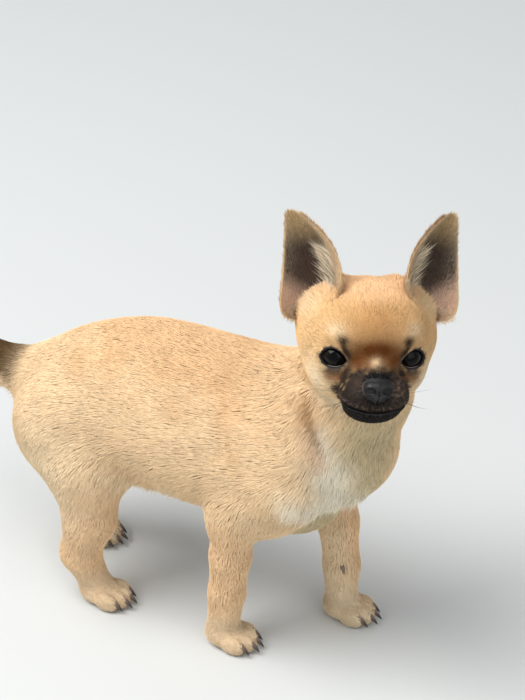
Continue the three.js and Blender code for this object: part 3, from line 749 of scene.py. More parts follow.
def ear_place(name, s, t, wall):
    """The leaf at s from tip to root and t from inner to outer edge: an arc about the cup's axis,
    of the leaf's half width over the sine of its bend, thickened to either wall."""
    side = SIDES[name]
    up, facing, across = ear_axes(side)
    half = EAR_HALF_WIDTH * np.sin(np.minimum(s / EAR_WIDEST, 1) * math.pi / 2) ** 0.68
    half = half * np.sqrt(1 - np.maximum((s - EAR_WIDEST) / EAR_LOBE, 0) ** 2.4) - EAR_INSET
    bend = ear_bend(s)
    radius = half / np.sin(np.minimum(bend, math.pi / 2))
    spine = EAR_TIP + (EAR_ROOT - EAR_TIP) * s[..., None]
    spine = spine * (1, side, 1) - across * (4 * EAR_BOW[name] * s * (1 - s))[..., None]
    turn = bend * t
    thick = (EAR_THICKNESS - EAR_INSET) * (1 - 0.5 * t * t) * (0.6 + 0.7 * s)
    reach = radius + wall * thick
    out = facing * (radius - reach * np.cos(turn))[..., None]
    out = out + across * (reach * np.sin(turn))[..., None]
    off = across * np.sin(turn)[..., None] - facing * np.cos(turn)[..., None]
    return from_head(spine + out), off @ HEAD_TURN.T


def ear_colour(s, t, wall):
    """Fawn behind. Inside, painted shade in the middle of the cup, tan on the inner margin,
    grey-brown at the tip and pink low down and towards the outer edge."""
    inner = wash(np.tile(EAR_HOLLOW_SHADE, (s.size, 1)), EAR_TIP_BROWN, step(0.4, 0.04, s))
    inner = wash(inner, EAR_MARGIN, step(-0.5, -0.78, t + 0.1 * np.sin(9 * s)))
    inner = wash(inner, EAR_PINK, step(0.74, 1.0, s + 0.28 * t))
    inner = wash(inner, EAR_BACK, step(0.9, 1, np.abs(t)))
    return np.where(wall[:, None] > 0, EAR_BACK, inner)


ear_finish = painted_finish("ear_skin", bump=0.2, bump_size=0.7, roughness=0.6, mottle=0.2)
EAR_ROWS = 64
EAR_COLUMNS = 36
for name, side in SIDES.items():
    wall, row, column = np.meshgrid([0.5, -0.5], range(EAR_ROWS), range(EAR_COLUMNS), indexing="ij")
    s = (0.005 + 0.995 * (row / (EAR_ROWS - 1)) ** 1.5).ravel()
    t = (2 * column / (EAR_COLUMNS - 1) - 1).ravel()
    points, _ = ear_place(name, s, t, wall.ravel())
    at = np.arange(points.shape[0]).reshape(wall.shape)
    outer, inner = at
    quads = [
        np.stack([outer[:-1, :-1], outer[:-1, 1:], outer[1:, 1:], outer[1:, :-1]], -1).reshape(-1, 4),
        np.stack([inner[:-1, :-1], inner[1:, :-1], inner[1:, 1:], inner[:-1, 1:]], -1).reshape(-1, 4),
        np.stack([outer[:-1, 0], outer[1:, 0], inner[1:, 0], inner[:-1, 0]], -1),
        np.stack([outer[:-1, -1], inner[:-1, -1], inner[1:, -1], outer[1:, -1]], -1),
        np.stack([outer[0, :-1], inner[0, :-1], inner[0, 1:], outer[0, 1:]], -1),
        np.stack([outer[-1, :-1], outer[-1, 1:], inner[-1, 1:], inner[-1, :-1]], -1),
    ]
    faces = np.concatenate(quads)
    if side < 0:
        faces = faces[:, ::-1]
    ear = piece_of("ear_leaf_" + name, points, faces, ear_finish, ear_colour(s, t, wall.ravel()))
    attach(ear, "root")
    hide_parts("ear_" + name)

# The eyes
# Each eye is a wet ball with a clear bulge over a dark brown iris. It sits behind two lids, whose
# bare black edges run round the almond of the opening, with a thin glossy line of tears along the
# lower, painted pale grey as a reflection.

CORNEA_RISE = 0.45
CORNEA_ANGLE = 30.0
PUPIL_ANGLES = (20, 24)
IRIS_ANGLES = (37, 40)
WHITE_ANGLES = (43, 47)
EYES_INWARD = 8.0
BALL_CLEARANCE = 0.15
LID_ROLL = 0.75
LID_REACH = 0.5
TEAR_RADIUS = 0.17
TEAR_REACH = 0.36
PUPIL = tint(5, 4, 4)
IRIS = tint(22, 14, 10)
EYE_WHITE = tint(44, 34, 29)
LID_EDGE = tint(14, 11, 10)
TEAR_REFLECTION_GREY = tint(128, 118, 110)


def ball_grid(rings, around):
    """Angles from the front pole and round it, and the faces of a ball of that many rings."""
    rows, columns = np.linspace(0, math.pi, rings + 1)[1:-1], np.arange(around) * 2 * math.pi / around
    polar, turn = np.meshgrid(rows, columns, indexing="ij")
    at = np.arange(polar.size).reshape(polar.shape)
    after = np.roll(at, -1, 1)
    sides = np.stack([at[:-1], at[1:], after[1:], after[:-1]], -1).reshape(-1, 4)
    front, rear = polar.size, polar.size + 1
    start = np.stack([np.full(around, front), at[0], after[0]], -1)
    end = np.stack([np.full(around, rear), after[-1], at[-1]], -1)
    triangles = np.concatenate([sides[:, [0, 1, 2]], sides[:, [0, 2, 3]], start, end])
    polar = np.concatenate([polar.ravel(), [0, math.pi]])
    turn = np.concatenate([turn.ravel(), [0, 0]])
    return polar, turn, triangles


def tube_along(path, across, over, radius, sides, closed=False):
    """A round profile carried along a path, drawn in the across and over directions at each point,
    with its ends closed to points unless it runs into itself."""
    turn = np.arange(sides) * 2 * math.pi / sides
    ring = np.cos(turn)[:, None] * across[:, None] + np.sin(turn)[:, None] * over[:, None]
    points = (path[:, None] + ring * np.asarray(radius).reshape(-1, 1, 1)).reshape(-1, 3)
    count = len(path)
    at = np.arange(count * sides).reshape(count, sides)
    after = np.roll(at, -1, 1)
    rows = at if not closed else np.vstack([at, at[:1]])
    nexts = after if not closed else np.vstack([after, after[:1]])
    quads = np.stack([rows[:-1], nexts[:-1], nexts[1:], rows[1:]], -1).reshape(-1, 4)
    faces = [quads[:, [0, 1, 2]], quads[:, [0, 2, 3]]]
    if not closed:
        points = np.concatenate([points, path[:1], path[-1:]])
        first, last = np.full(sides, count * sides), np.full(sides, count * sides + 1)
        faces.append(np.stack([first, after[0], at[0]], -1))
        faces.append(np.stack([last, at[-1], after[-1]], -1))
    return points, np.concatenate(faces)


eye_finish = painted_finish(
    "wet_eye", mottle=0.1, bump_size=0.5, roughness=0.05, specular_ior_level=0.16
)
lid_finish = painted_finish(
    "lid_edge", bump=0.1, bump_size=0.4, roughness=0.35, specular_ior_level=0.3
)
tear_finish = painted_finish("tear_line", mottle=0.25, bump_size=0.8, roughness=0.12)


def on_ball(axes, edge, reach):
    """Points of the lids' plane carried ahead onto a ball round the eye's centre."""
    depth = np.sqrt(reach**2 - (edge**2).sum(-1))[:, None]
    return axes[0] * depth + axes[1] * edge[:, :1] + axes[2] * edge[:, 1:]


for name, side in SIDES.items():
    centre = EYE_AT * (1, side, 1)
    axes = eye_axes(side)
    gaze = turned("z", side * -EYES_INWARD)
    ahead, outward = axes[0] @ gaze.T, axes[1] @ gaze.T
    polar, turn, faces = ball_grid(48, 64)
    bulge = np.exp(-((polar / math.radians(CORNEA_ANGLE)) ** 4))
    radius = EYE_RADIUS + CORNEA_RISE * bulge - BALL_CLEARANCE
    local = ahead * np.cos(polar)[:, None]
    local = local + outward * (np.sin(polar) * np.cos(turn))[:, None]
    local = local + axes[2] * (np.sin(polar) * np.sin(turn))[:, None]
    points = from_head(local * radius[:, None] + centre)
    degrees = np.degrees(polar)
    colour = wash(np.tile(PUPIL, (len(points), 1)), IRIS, step(*PUPIL_ANGLES, degrees))
    colour = wash(colour, PUPIL, step(*IRIS_ANGLES, degrees))
    colour = wash(colour, EYE_WHITE, step(*WHITE_ANGLES, degrees))
    if side > 0:
        faces = faces[:, ::-1]
    eye = piece_of("eyeball_" + name, points, faces, eye_finish, colour)
    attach(eye, "root")
    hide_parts("eye_" + name)

    upper, lower = lid_curve(UPPER_LID_RISE, 41), lid_curve(LOWER_LID_RISE, 41)
    path = on_ball(axes, np.concatenate([upper[:-1], lower[:0:-1]]), EYE_RADIUS + LID_REACH)
    across = np.cross(unit(np.roll(path, -1, 0) - np.roll(path, 1, 0)), unit(path)) * side
    lid = tube_along(path, across, unit(path), np.full(len(path), LID_ROLL), 10, closed=True)
    wet = on_ball(axes, lower[7:31] * (1, 0.86), EYE_RADIUS + TEAR_REACH)
    across = np.cross(unit(np.gradient(wet, axis=0)), unit(wet)) * side
    radius = TEAR_RADIUS * np.sin(np.linspace(0.05, math.pi - 0.05, len(wet))) ** 0.6
    tear = tube_along(wet, across, unit(wet), radius, 8)
    # The tears are painted pale grey as a painted reflection, on a glossy finish that also reflects.
    for part, (points, faces), finish, paint in (
        ("lid_edge_", lid, lid_finish, LID_EDGE), ("tear_line_", tear, tear_finish, TEAR_REFLECTION_GREY),
    ):
        if side < 0:
            faces = faces[:, ::-1]
        colour = np.tile(paint, (len(points), 1))
        edge = piece_of(part + name, from_head(points + centre), faces, finish, colour)
        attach(edge, "root")

# The nose
# The nose pad is moist, pebbled black leather with two comma-shaped nostrils, grown over the end
# of the muzzle.

NOSE_LEATHER = tint(21, 18, 16)
NOSTRIL_SHADE = tint(8, 6, 6)
PAD_GROOVE = 0.7
NOSTRIL_DEPTH = 2.6
nose_forms = [ellipsoid((0, 0, 0), (4.6, 5.6, 4.3), 2), ellipsoid((-0.6, 0, -2.6), (4.2, 3.0, 3.6), 3)]
nostril_forms = []
for side in SIDES.values():
    nose_forms.append(ellipsoid((-0.5, side * 3.8, -0.2), (4.6, 3, 3.5), 2))
    nostril_forms.append(ellipsoid((4.1, side * 3.3, -0.6), (3.2, 1.7, 1.65), 0.6))
    nostril_forms.append(bone((4.0, side * 3.8, -1.1), (2.4, side * 6.3, -1.6), 0.9, 0.6, 0.8))


def nose_distance(q):
    """The lobes melted together, less the nostrils and the groove below the middle."""
    below = (q[..., 2] < -0.4) & (q[..., 0] > 0)
    groove = np.where(below, GROOVE_HALF_WIDTH - np.abs(q[..., 1]), NOWHERE)
    lobes = union(nose_forms, q)
    carved = np.maximum(np.minimum(groove, lobes + PAD_GROOVE), -union(nostril_forms, q))
    return np.maximum(lobes, np.minimum(carved, lobes + NOSTRIL_DEPTH))


# Each point of the pad is where a ray from its middle leaves the lobes, found by halving.
polar, turn, faces = ball_grid(110, 150)
rays = np.stack([np.cos(polar), np.sin(polar) * np.cos(turn), np.sin(polar) * np.sin(turn)], -1)
steps_out = np.linspace(1.5, 8.0, 66)
crossed = nose_distance(rays[:, None] * steps_out[:, None]) > 0
reach = steps_out[crossed.argmax(1)]
low, high = reach - (steps_out[1] - steps_out[0]), reach
for _ in range(8):
    half = (low + high) / 2
    outside = nose_distance(rays * half[:, None]) > 0
    low, high = np.where(outside, low, half), np.where(outside, half, high)
nose_points = rays * high[:, None]
nose_shade = 1 + 0.25 * ripple(nose_points, 2.5, 21)
nose_colour = NOSE_LEATHER * np.clip(nose_shade, 0.6, 1.4)[:, None]
# The nostrils are painted darker than the leather, as painted shade inside them.
in_nostril = step(0.5, -0.1, union(nostril_forms, nose_points))
nose_colour = wash(nose_colour, NOSTRIL_SHADE, in_nostril)
nose_finish = painted_finish(
    "nose_leather", bump=0.22, bump_size=0.55, roughness=0.42, specular_ior_level=0.4
)
nose = piece_of("nose_pad", from_head(nose_points + NOSE_AT), faces, nose_finish, nose_colour)
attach(nose, "root")
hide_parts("nose")

# The claws
# Sixteen toe claws and two dewclaws: dark horn, curved, flattened at the sides, worn to blunt tips.
# Each grows from the end of its toe, the dewclaws from the inner side of the wrist.

CLAW_LENGTH = 6.8
CLAW_RADIUS = 1.44
DEWCLAW_LENGTH = 4.0
DEWCLAW_RADIUS = 0.864
CLAW_SUNK = 1.5
CLAW_BEND = 0.035
CLAW_TALLER = 1.25
CLAW_BLUNTNESS = 0.12
TOE_CLAW_AT = (4.2, 0, 1.6)
TOE_CLAW_DROP = 22.0
DEWCLAW_AHEAD = 4.8
DEWCLAW_INWARD = 8.3
DEWCLAW_HEIGHT = 36.0
DEWCLAW_DROP = 72.0
CLAW_ROOT = tint(120, 100, 84)
CLAW_TIP = tint(58, 47, 42)
claw_finish = painted_finish(
    "horn", bump=0.08, bump_size=0.5, bump_stretch=(0.3, 1, 1), roughness=0.34, coat_weight=0.2
)


def claw_at(place, drop, claw_length, claw_radius):
    """An oval section, taller than wide, whose radius shrinks to the blunt tip with the power 0.75
    of what is left of the length, bent down with the square of the way along."""
    along = np.linspace(-CLAW_SUNK, claw_length, 20)
    share = np.clip(along / claw_length, 0, 1)
    path = np.stack([along, 0 * along, -CLAW_BEND * along**2], -1)
    radius = claw_radius * (1 - share) ** 0.75 + CLAW_BLUNTNESS
    across = np.tile([0.0, 1.0, 0.0], (len(along), 1))
    over = np.tile([0.0, 0.0, CLAW_TALLER], (len(along), 1))
    points, faces = tube_along(path, across, over, radius, 14)
    dark = step(0.15, 0.8, points[:, 0] / CLAW_LENGTH)
    colour = wash(np.tile(CLAW_ROOT, (len(points), 1)), CLAW_TIP, dark)
    return points @ turned("y", drop).T + place, faces, colour


def joined(meshes):
    """Meshes of points, faces and colours as one."""
    points, faces, colours = zip(*meshes)
    starts = np.cumsum([0] + [len(p) for p in points[:-1]])
    faces = [f + start for f, start in zip(faces, starts)]
    return np.concatenate(points), np.concatenate(faces), np.concatenate(colours)


for paw_name, paw in PAWS.items():
    end, name = paw_name.split("_")
    claws, nodes = [], []
    for number, toe in enumerate(TOES, 1):
        place = np.array(toe_at(paw, toe)) + TOE_CLAW_AT
        claws.append(claw_at(place, TOE_CLAW_DROP, CLAW_LENGTH, CLAW_RADIUS))
        nodes.append(f"{end}_claw_{name}_{number}")
    if end == "fore":
        leg = FORELEGS[name]
        across = leg["wrist"][1] - leg["side"] * DEWCLAW_INWARD
        place = np.array([leg["wrist"][0] + DEWCLAW_AHEAD, across, DEWCLAW_HEIGHT])
        claws.append(claw_at(place, DEWCLAW_DROP, DEWCLAW_LENGTH, DEWCLAW_RADIUS))
        nodes.append("dewclaw_" + name)
    points, faces, colours = joined(claws)
    claws = piece_of(f"claws_{end}_{name}", points, faces, claw_finish, colours)
    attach(claws, "root")
    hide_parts(*nodes)

# The coat
# Short, close hair in fine tufts that overlap and lie along the body, from the nose backwards and
# down each leg. It is longest on the chest and the fringes of belly and tail, shortest on the face.

TUFTS_TO_SQUARE = 1.75
TUFT_WIDTH = 0.5
BODY_HAIR = 8.5
TAIL_HAIR = 8.0
LEG_HAIR = 5.6
FACE_HAIR = 4.0
FRINGE_LONGER = 8.0
CHEST_LONGER = 2.0
EAR_FOOT_LONGER = 3.6
NAPE_LONGER = 1.3
MUZZLE_SHORTER = 2.1
FEET_SHORTER = 0.5
EYES_SHORTER = 0.84
LEG_FINER, HEAD_FINER, MUZZLE_FINER, FEET_FINER = 0.1, 0.16, 0.06, 0.15
LEG_CLOSER, HEAD_CLOSER, MUZZLE_CLOSER, FEET_CLOSER = 0.1, 1.5, 1.8, 1.0
DARK_HAIR_SHARE = 0.11
DARK_HAIR_TONE = 0.12
DARK_HAIR_RISE = 0.12
TAIL_HAIR_DROOP = 14.0
coat_finish = painted_finish(
    "hair", mottle=0.08, bump_size=0.35, roughness=0.7, specular_ior_level=0.12
)
draw = np.random.default_rng(7)


def lie_of(places, shares):
    """The way the hair lies, part by part: backwards along the trunk and down behind, down the
    legs, out along the tail, and on the head away from the nose."""
    x, y, z = places.T
    ones = np.ones(len(places))

    def way(a, b, c):
        return np.stack([a * ones, b * ones, c * ones], -1)

    low = step(128, 88, z)[:, None]
    rump = step(-10, -80, x)[:, None]
    front = step(72, 100, x)[:, None]
    body = way(-1, 0, -0.14) * (1 - low) + way(-0.6, 0, -0.8) * low + way(0.1, 0, -0.5) * rump
    body = body * (1 - front) + way(-0.15, -0.1 * np.sign(y), -1) * front
    lie = body * shares["trunk"][:, None]
    lie += way(-0.45, 0, -0.9) * shares["neck"][:, None]
    s = along_tail(x)
    along = way(-TAIL_REACH, 2 * TAIL_SWING * s, 4 * TAIL_RISE * s**3 - TAIL_HAIR_DROOP)
    lie += unit(along) * shares["tail"][:, None]
    for name in limbs:
        down = way(-0.12, 0, -1) if name.startswith("fore") else way(-0.4, 0, -0.9)
        paw = step(24, 12, z)[:, None]
        lie += (down * (1 - paw) + way(0.8, 0, -0.5) * paw) * shares[name][:, None]
    q = to_head(places)
    away = unit(q - (47, 0, -15))
    behind = step(4, -18, q[:, 0])[:, None]
    away = away * (1 - behind) + (-0.2, 0, -1) * behind
    for side in SIDES.values():
        outside, ahead = eye_opening(q, side)
        from_eye = unit(q - EYE_AT * (1, side, 1))
        close = (np.exp(-((np.maximum(outside, 0) / 3) ** 2)) * (ahead > 0))[:, None]
        away = away * (1 - close) + from_eye * close
    return lie + (away @ HEAD_TURN.T) * shares["head"][:, None]


def onto_level(places, level):
    """Places drawn onto one level of the coat, in two steps along the slope at the start."""
    slope = slope_of(dog_distance, places)
    square = np.maximum((slope**2).sum(-1), 0.3)
    for _ in range(2):
        places = places - slope * ((dog_distance(places) - level) / square)[:, None]
    return places


TUFT_FACES = np.array([(1, 3, 4), (3, 2, 4), (2, 1, 4), (3, 1, 0), (2, 3, 0), (1, 2, 0)])
# Each tuft's tones, root to tip: a darker root as painted shade, a paler tip as painted light.
TUFT_SHADE_TONES = np.array([0.82, 0.97, 0.97, 1.0, 1.05])
TUFT_PATCH = 0.0015
ROOT_DEPTH = 0.25
RIDGE_SHARE = 0.28
RIDGE_AT = 0.42
RIDGE_RISE = 0.62
TUFT_CHART = np.array([(-1, 0), (0, 0.6), (0, -0.6), (0, 0), (1, 0)]) * TUFT_PATCH


def tufts(name, root, mid, tip, normal, width, colour, chart, slot="coat"):
    """Closed tufts of six faces: a point sunk at the root, a low ridge as wide as the tuft before
    mid length, and a point at the tip. Each is a kite of the chart at its root's place."""
    across = unit(np.cross(normal, tip - root)) * width[:, None] / 2
    ridge = mid + normal * width[:, None] * RIDGE_SHARE
    points = np.stack([root - ROOT_DEPTH * normal, mid + across, mid - across, ridge, tip], 1)
    points = np.maximum(points, (-1e3, -1e3, SOLE))
    faces = (TUFT_FACES[None] + 5 * np.arange(len(root))[:, None, None]).reshape(-1, 3)
    colours = np.clip(colour[:, None] * TUFT_SHADE_TONES[None, :, None], 0, 1).reshape(-1, 3)
    coat = piece_of(name, points.reshape(-1, 3), faces, coat_finish, colours)
    coat.data.polygons.foreach_set("use_smooth", np.zeros(len(faces), bool))
    flat = (chart[:, None] + TUFT_CHART[None]).reshape(-1, 2)
    layer = coat.data.uv_layers.new(name="OFBake")
    layer.data.foreach_set("uv", flat[faces.ravel()].astype(np.float32).ravel())
    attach(coat, "root")
    return coat


def fringe_at(places):
    """One where the hair hangs free: the flank's edge before the thigh, the brisket, the backs of
    the legs and the lower side of the tail."""
    x, y, z = places.T
    belly = spot(places * (1, 0, 1), (-12, 0, 86), (34, 1, 11))
    brisket = near_line(places, *BRISKET_LOCKS, 8)
    breeches = spot(places * (1, 0, 1), (-88, 0, 92), (12, 1, 22))
    elbows = spot(places * (1, 0, 1), (34, 0, 88), (7, 1, 12)) * step(20, 30, np.abs(y))
    s = along_tail(x)
    under_tail = step(1, -6, z - tail_point(s)[:, 2]) * step(-92, -104, x) * step(0.95, 0.6, s)
    return np.clip(belly + brisket + 0.5 * breeches + 0.5 * elbows + under_tail, 0, 1)


def ear_foot_at(q):
    """One where the crown's fur stands up against the foot of an ear."""
    return near_line(np.abs(q) * (0, 1, 0) + q * (1, 0, 1), (-4, 13, 25), (3, 29, 13), 6)


def hair_plan(places, shares):
    """Tufts to a square millimetre, and the length and width of each, in millimetres."""
    q = to_head(places)
    x, y, z = places.T
    legs = sum(shares[name] for name in limbs)
    head = shares["head"]
    feet = step(34, 12, z)
    muzzle = step(24, 33, q[:, 0])
    length = BODY_HAIR * shares["trunk"] + BODY_HAIR * shares["neck"]
    length += TAIL_HAIR * shares["tail"] + LEG_HAIR * legs
    length += FRINGE_LONGER * fringe_at(places) * (1 - head)
    length += CHEST_LONGER * step(70, 100, x) * (shares["trunk"] + shares["neck"])
    length += head * (FACE_HAIR - MUZZLE_SHORTER * muzzle + NAPE_LONGER * step(0, -14, q[:, 0]))
    length *= 1 - FEET_SHORTER * feet
    width = TUFT_WIDTH - LEG_FINER * legs - HEAD_FINER * head - MUZZLE_FINER * head * muzzle
    width *= 1 - FEET_FINER * feet
    density = TUFTS_TO_SQUARE + LEG_CLOSER * legs + HEAD_CLOSER * head
    density += MUZZLE_CLOSER * head * muzzle
    density += FEET_CLOSER * feet
    length *= 1 - EYES_SHORTER * head * step(4, 10, q[:, 0]) * step(4, 0.4, lid_rim(q))
    length += EAR_FOOT_LONGER * head * ear_foot_at(q)
    return density, length, width


def is_bare(places):
    """True on the lids' edges, the lips, under the nose pad and on the soles."""
    q = to_head(places)
    rim = lid_rim(q)
    bare = (rim < 0.5) & (q[:, 0] > 7) & (q[:, 0] < 40)
    at_lips = np.abs(q[:, 2] - lip_height(q[:, 1])) < LIP_GAP + 0.2
    bare |= (q[:, 0] > LIPS_FROM) & (q[:, 0] < 60) & at_lips
    bare |= union(nose_forms, q - NOSE_AT) < 0.4
    return bare | (places[:, 2] < 1.4)


def over_faces(values):
    """Values of the skin's points, weighed over the three corners of each root's face."""
    shape = weights.shape + (1,) * (values.ndim - 1)
    return (values[skin_faces[face]] * weights.reshape(shape)).sum(1)


skin_plan = np.stack(hair_plan(skin_points, skin_shares), -1)
skin_normal = unit(slope_of(dog_distance, skin_points))
skin_lie = lie_of(skin_points, skin_shares)
skin_depth = coat_depth(skin_points, *both_distances(skin_points))
skin_owner = np.stack([skin_shares[name] for name in PART_NAMES], -1)
corner = skin_points[skin_faces]
area = np.linalg.norm(np.cross(corner[:, 1] - corner[:, 0], corner[:, 2] - corner[:, 0]), axis=-1) / 2
expected = area * skin_plan[skin_faces, 0].mean(1)
face = np.repeat(np.arange(len(area)), np.floor(expected + draw.random(len(area))).astype(int))
weights = draw.exponential(size=(len(face), 3))
weights /= weights.sum(1, keepdims=True)
root = over_faces(skin_points)
grows = ~is_bare(root)
face, weights, root = face[grows], weights[grows], root[grows]
_, length, width = over_faces(skin_plan).T
depth = over_faces(skin_depth)
normal = unit(over_faces(skin_normal))
lie = over_faces(skin_lie)
lie = unit(lie - normal * (lie * normal).sum(-1, keepdims=True))
yaw = 5 * ripple(root, 15, 31) + 4 * ripple(root, 5, 32) + 3 * draw.normal(size=len(root))
yaw = np.radians(yaw)[:, None]
lie = lie * np.cos(yaw) + np.cross(normal, lie) * np.sin(yaw)
length = length * draw.uniform(0.78, 1.18, len(root))
dark_hair = draw.random(len(root)) < DARK_HAIR_SHARE
rise = depth * draw.uniform(0.75, 1.1, len(root)) + 0.12 + DARK_HAIR_RISE * dark_hair
mid = onto_level(root + lie * (RIDGE_AT * length)[:, None], RIDGE_RISE * rise - depth)
tip = onto_level(root + lie * length[:, None], rise - depth)
in_locks = step(-0.7, 0.9, ripple(root, 5, 33)) * draw.uniform(0.6, 1, len(root))
loose = (fringe_at(root) * (1 - over_faces(skin_shares["head"])) * in_locks)[:, None]
hanging = unit(lie * 0.6 + np.array([-0.1, 0, -0.8]) + normal * 0.12)
mid = mid * (1 - loose) + (root + (lie + hanging) * (0.21 * length)[:, None]) * loose
tip = tip * (1 - loose) + (root + (0.35 * lie + 0.65 * hanging) * length[:, None]) * loose
ear_foot = over_faces(skin_shares["head"] * ear_foot_at(to_head(skin_points)))
upright = (ear_foot * draw.uniform(0.3, 1, len(root)))[:, None]
mid = mid + normal * (0.25 * length)[:, None] * upright
tip = tip + normal * (0.55 * length)[:, None] * upright
colour = over_faces(skin_colours)
tone = 1 + 0.04 * draw.normal(size=len(root)) - DARK_HAIR_TONE * dark_hair
colour = colour * np.clip(tone, 0.7, 1.2)[:, None]


UNWRAP_BEHIND = 190
UNWRAP_LENGTH = 360
UNWRAP_HEIGHT = 140


def round_axis(places, centre_y, centre_z):
    """An unwrap round a level axis: the way along it and the angle about it."""
    angle = np.arctan2(places[:, 1] - centre_y, places[:, 2] - centre_z) / (2 * math.pi) + 0.5
    return np.stack([(places[:, 0] + UNWRAP_BEHIND) / UNWRAP_LENGTH, angle], -1)


def round_post(places, centre_x, centre_y):
    """An unwrap round an upright axis: the angle about it and the height."""
    angle = np.arctan2(places[:, 1] - centre_y, places[:, 0] - centre_x) / (2 * math.pi) + 0.5
    return np.stack([angle, places[:, 2] / UNWRAP_HEIGHT], -1)


def round_ball(places):
    """An unwrap of the head: the angle round its upright axis and the angle above the middle."""
    q = to_head(places) - (6, 0, -4)
    level = np.arctan2(q[:, 1], q[:, 0]) / (2 * math.pi) + 0.5
    return np.stack([level, np.arcsin(np.clip(unit(q)[:, 2], -1, 1)) / math.pi + 0.5], -1)


part_of = np.array(PART_NAMES)[over_faces(skin_owner).argmax(-1)]
q_root = to_head(root)
patches = {name: part_of == name for name in (*limbs, "tail", "neck")}
for name, side in SIDES.items():
    on_side = root[:, 1] * side >= 0
    on_trunk = (part_of == "trunk") & on_side
    patches["fore_trunk_" + name] = on_trunk & (root[:, 0] >= 42)
    patches["mid_trunk_" + name] = on_trunk & (root[:, 0] < 42) & (root[:, 0] >= -18)
    patches["rear_trunk_" + name] = on_trunk & (root[:, 0] < -18)
    patches["head_" + name] = (part_of == "head") & (q_root[:, 1] * side >= 0)
LEG_AXES = {
    "foreleg_right": (37, 38, 41, 43), "foreleg_left": (81, 80, 77, 73),
    "hindleg_right": (-40, -49, -43, -44), "hindleg_left": (-73, -84, -64, -53),
}
for name, chosen in patches.items():
    places = root[chosen]
    if name.startswith("head"):
        chart = round_ball(places)
    elif name in limbs:
        axis_x = np.interp(places[:, 2], (0, 30, 58, 90), LEG_AXES[name])
        chart = round_post(places, axis_x, 25 * (1 if name.endswith("left") else -1))
    elif name == "tail":
        axis = tail_point(along_tail(places[:, 0]))
        chart = round_axis(places, axis[:, 1], axis[:, 2])
    else:
        chart = round_axis(places, 0, 120)
    parts = [values[chosen] for values in (root, mid, tip, normal, width, colour)]
    tufts("coat_" + name, *parts, chart)

# The ear hair
# Velvet on the back of each ear, a fine fringe on its edges and thin down inside. Long pale hairs
# grow from the inner margin across the cup, and softer ones fill the corner where ear meets crown.

HAIR_SILVER = tint(240, 222, 192)
HAIR_CREAM = tint(226, 204, 172)
HAIR_EDGE = tint(214, 190, 152)

# Each kind of hair: count, range of s and of t, wall, length, width, rise, lie and colour. The lie
# is how far a hair points up the ear, across it, and outwards from the ear's middle.
EAR_HAIR = {
    "back": (6500, (0.07, 1.0), (-0.92, 0.92), 0.5, 3.2, 0.3, 0.5, (1, 0, 0.2), EAR_BACK),
    "down": (4600, (0.03, 0.97), (-0.97, 0.97), -0.5, 3.0, 0.17, 0.7, (1, 0, 0.2), None),
    "edge": (3600, (0.01, 1.0), (0.9, 1.0), 0.0, 1.1, 0.16, 0.25, (0.9, 0, 0.35), HAIR_EDGE),
    "tassel": (380, (0.4, 0.9), (-0.85, -0.35), -0.5, 9.0, 0.16, 2.2, (0.8, 0.6, 0), HAIR_SILVER),
    "base": (420, (0.8, 0.99), (-0.98, -0.3), -0.5, 7.5, 0.28, 2.4, (0.8, 0.6, 0), HAIR_CREAM),
    "lobe": (260, (0.86, 0.99), (0.25, 0.95), -0.3, 5.5, 0.26, 1.2, (-0.2, 1, 0), HAIR_CREAM),
    "nape": (1500, (0.7, 1.0), (-1.0, -0.45), 0.5, 6.0, 0.3, 1.6, (0.9, -0.5, 0), HAIR_CREAM),
}
for name, side in SIDES.items():
    up, facing, across = (axis @ HEAD_TURN.T for axis in ear_axes(side))
    for kind, (count, along, over, wall, long, wide, high, way, paint) in EAR_HAIR.items():
        s = draw.uniform(*along, count)
        t = draw.uniform(*over, count)
        fan, stray, spread = t, 0.12, 0.08
        if kind == "edge":
            t = t * draw.choice([-1, 1], count)
            fan, stray = np.sign(t) * step(0, 0.3, s), 0.05
        place, off = ear_place(name, s, t, np.full(count, wall))
        normal = off if wall >= 0 else -off
        turn = (t * ear_bend(s))[:, None]
        sideways = across * np.cos(turn) + facing * np.sin(turn)
        lie = up * way[0] + sideways * (way[1] + way[2] * fan)[:, None]
        lie = unit(lie + stray * draw.normal(size=(count, 3)))
        length = long * draw.uniform(0.7, 1.25, count)
        rise = high * draw.uniform(0.5, 1.3, count)
        mid = place + lie * (0.45 * length)[:, None] + normal * (0.65 * rise)[:, None]
        tip = place + lie * length[:, None] + normal * rise[:, None]
        if kind == "down":
            silver = 0.05 + 0.25 * step(0.3, 1, np.abs(t)) + 0.15 * step(0.6, 0.95, s)
            colour = wash(ear_colour(s, t, np.full(count, -0.5)), HAIR_SILVER, silver)
            spread = 0.2
        else:
            colour = np.tile(paint, (count, 1))
        colour = colour * np.clip(1 + spread * draw.normal(size=(count, 1)), 0.5, 1.5)
        chart = np.stack([0.02 + 0.46 * s + (0.5 if wall < 0 else 0), 0.5 + 0.47 * t], -1)
        width = np.full(count, wide)
        tufts(f"ear_{kind}_{name}", place, mid, tip, normal, width, colour, chart, "ear")

# The whiskers
# Stiff black hairs rooted in the lips: seven in rows on each side of the muzzle, one over each eye
# and one on each side of the chin. They taper to a point and bend backwards.

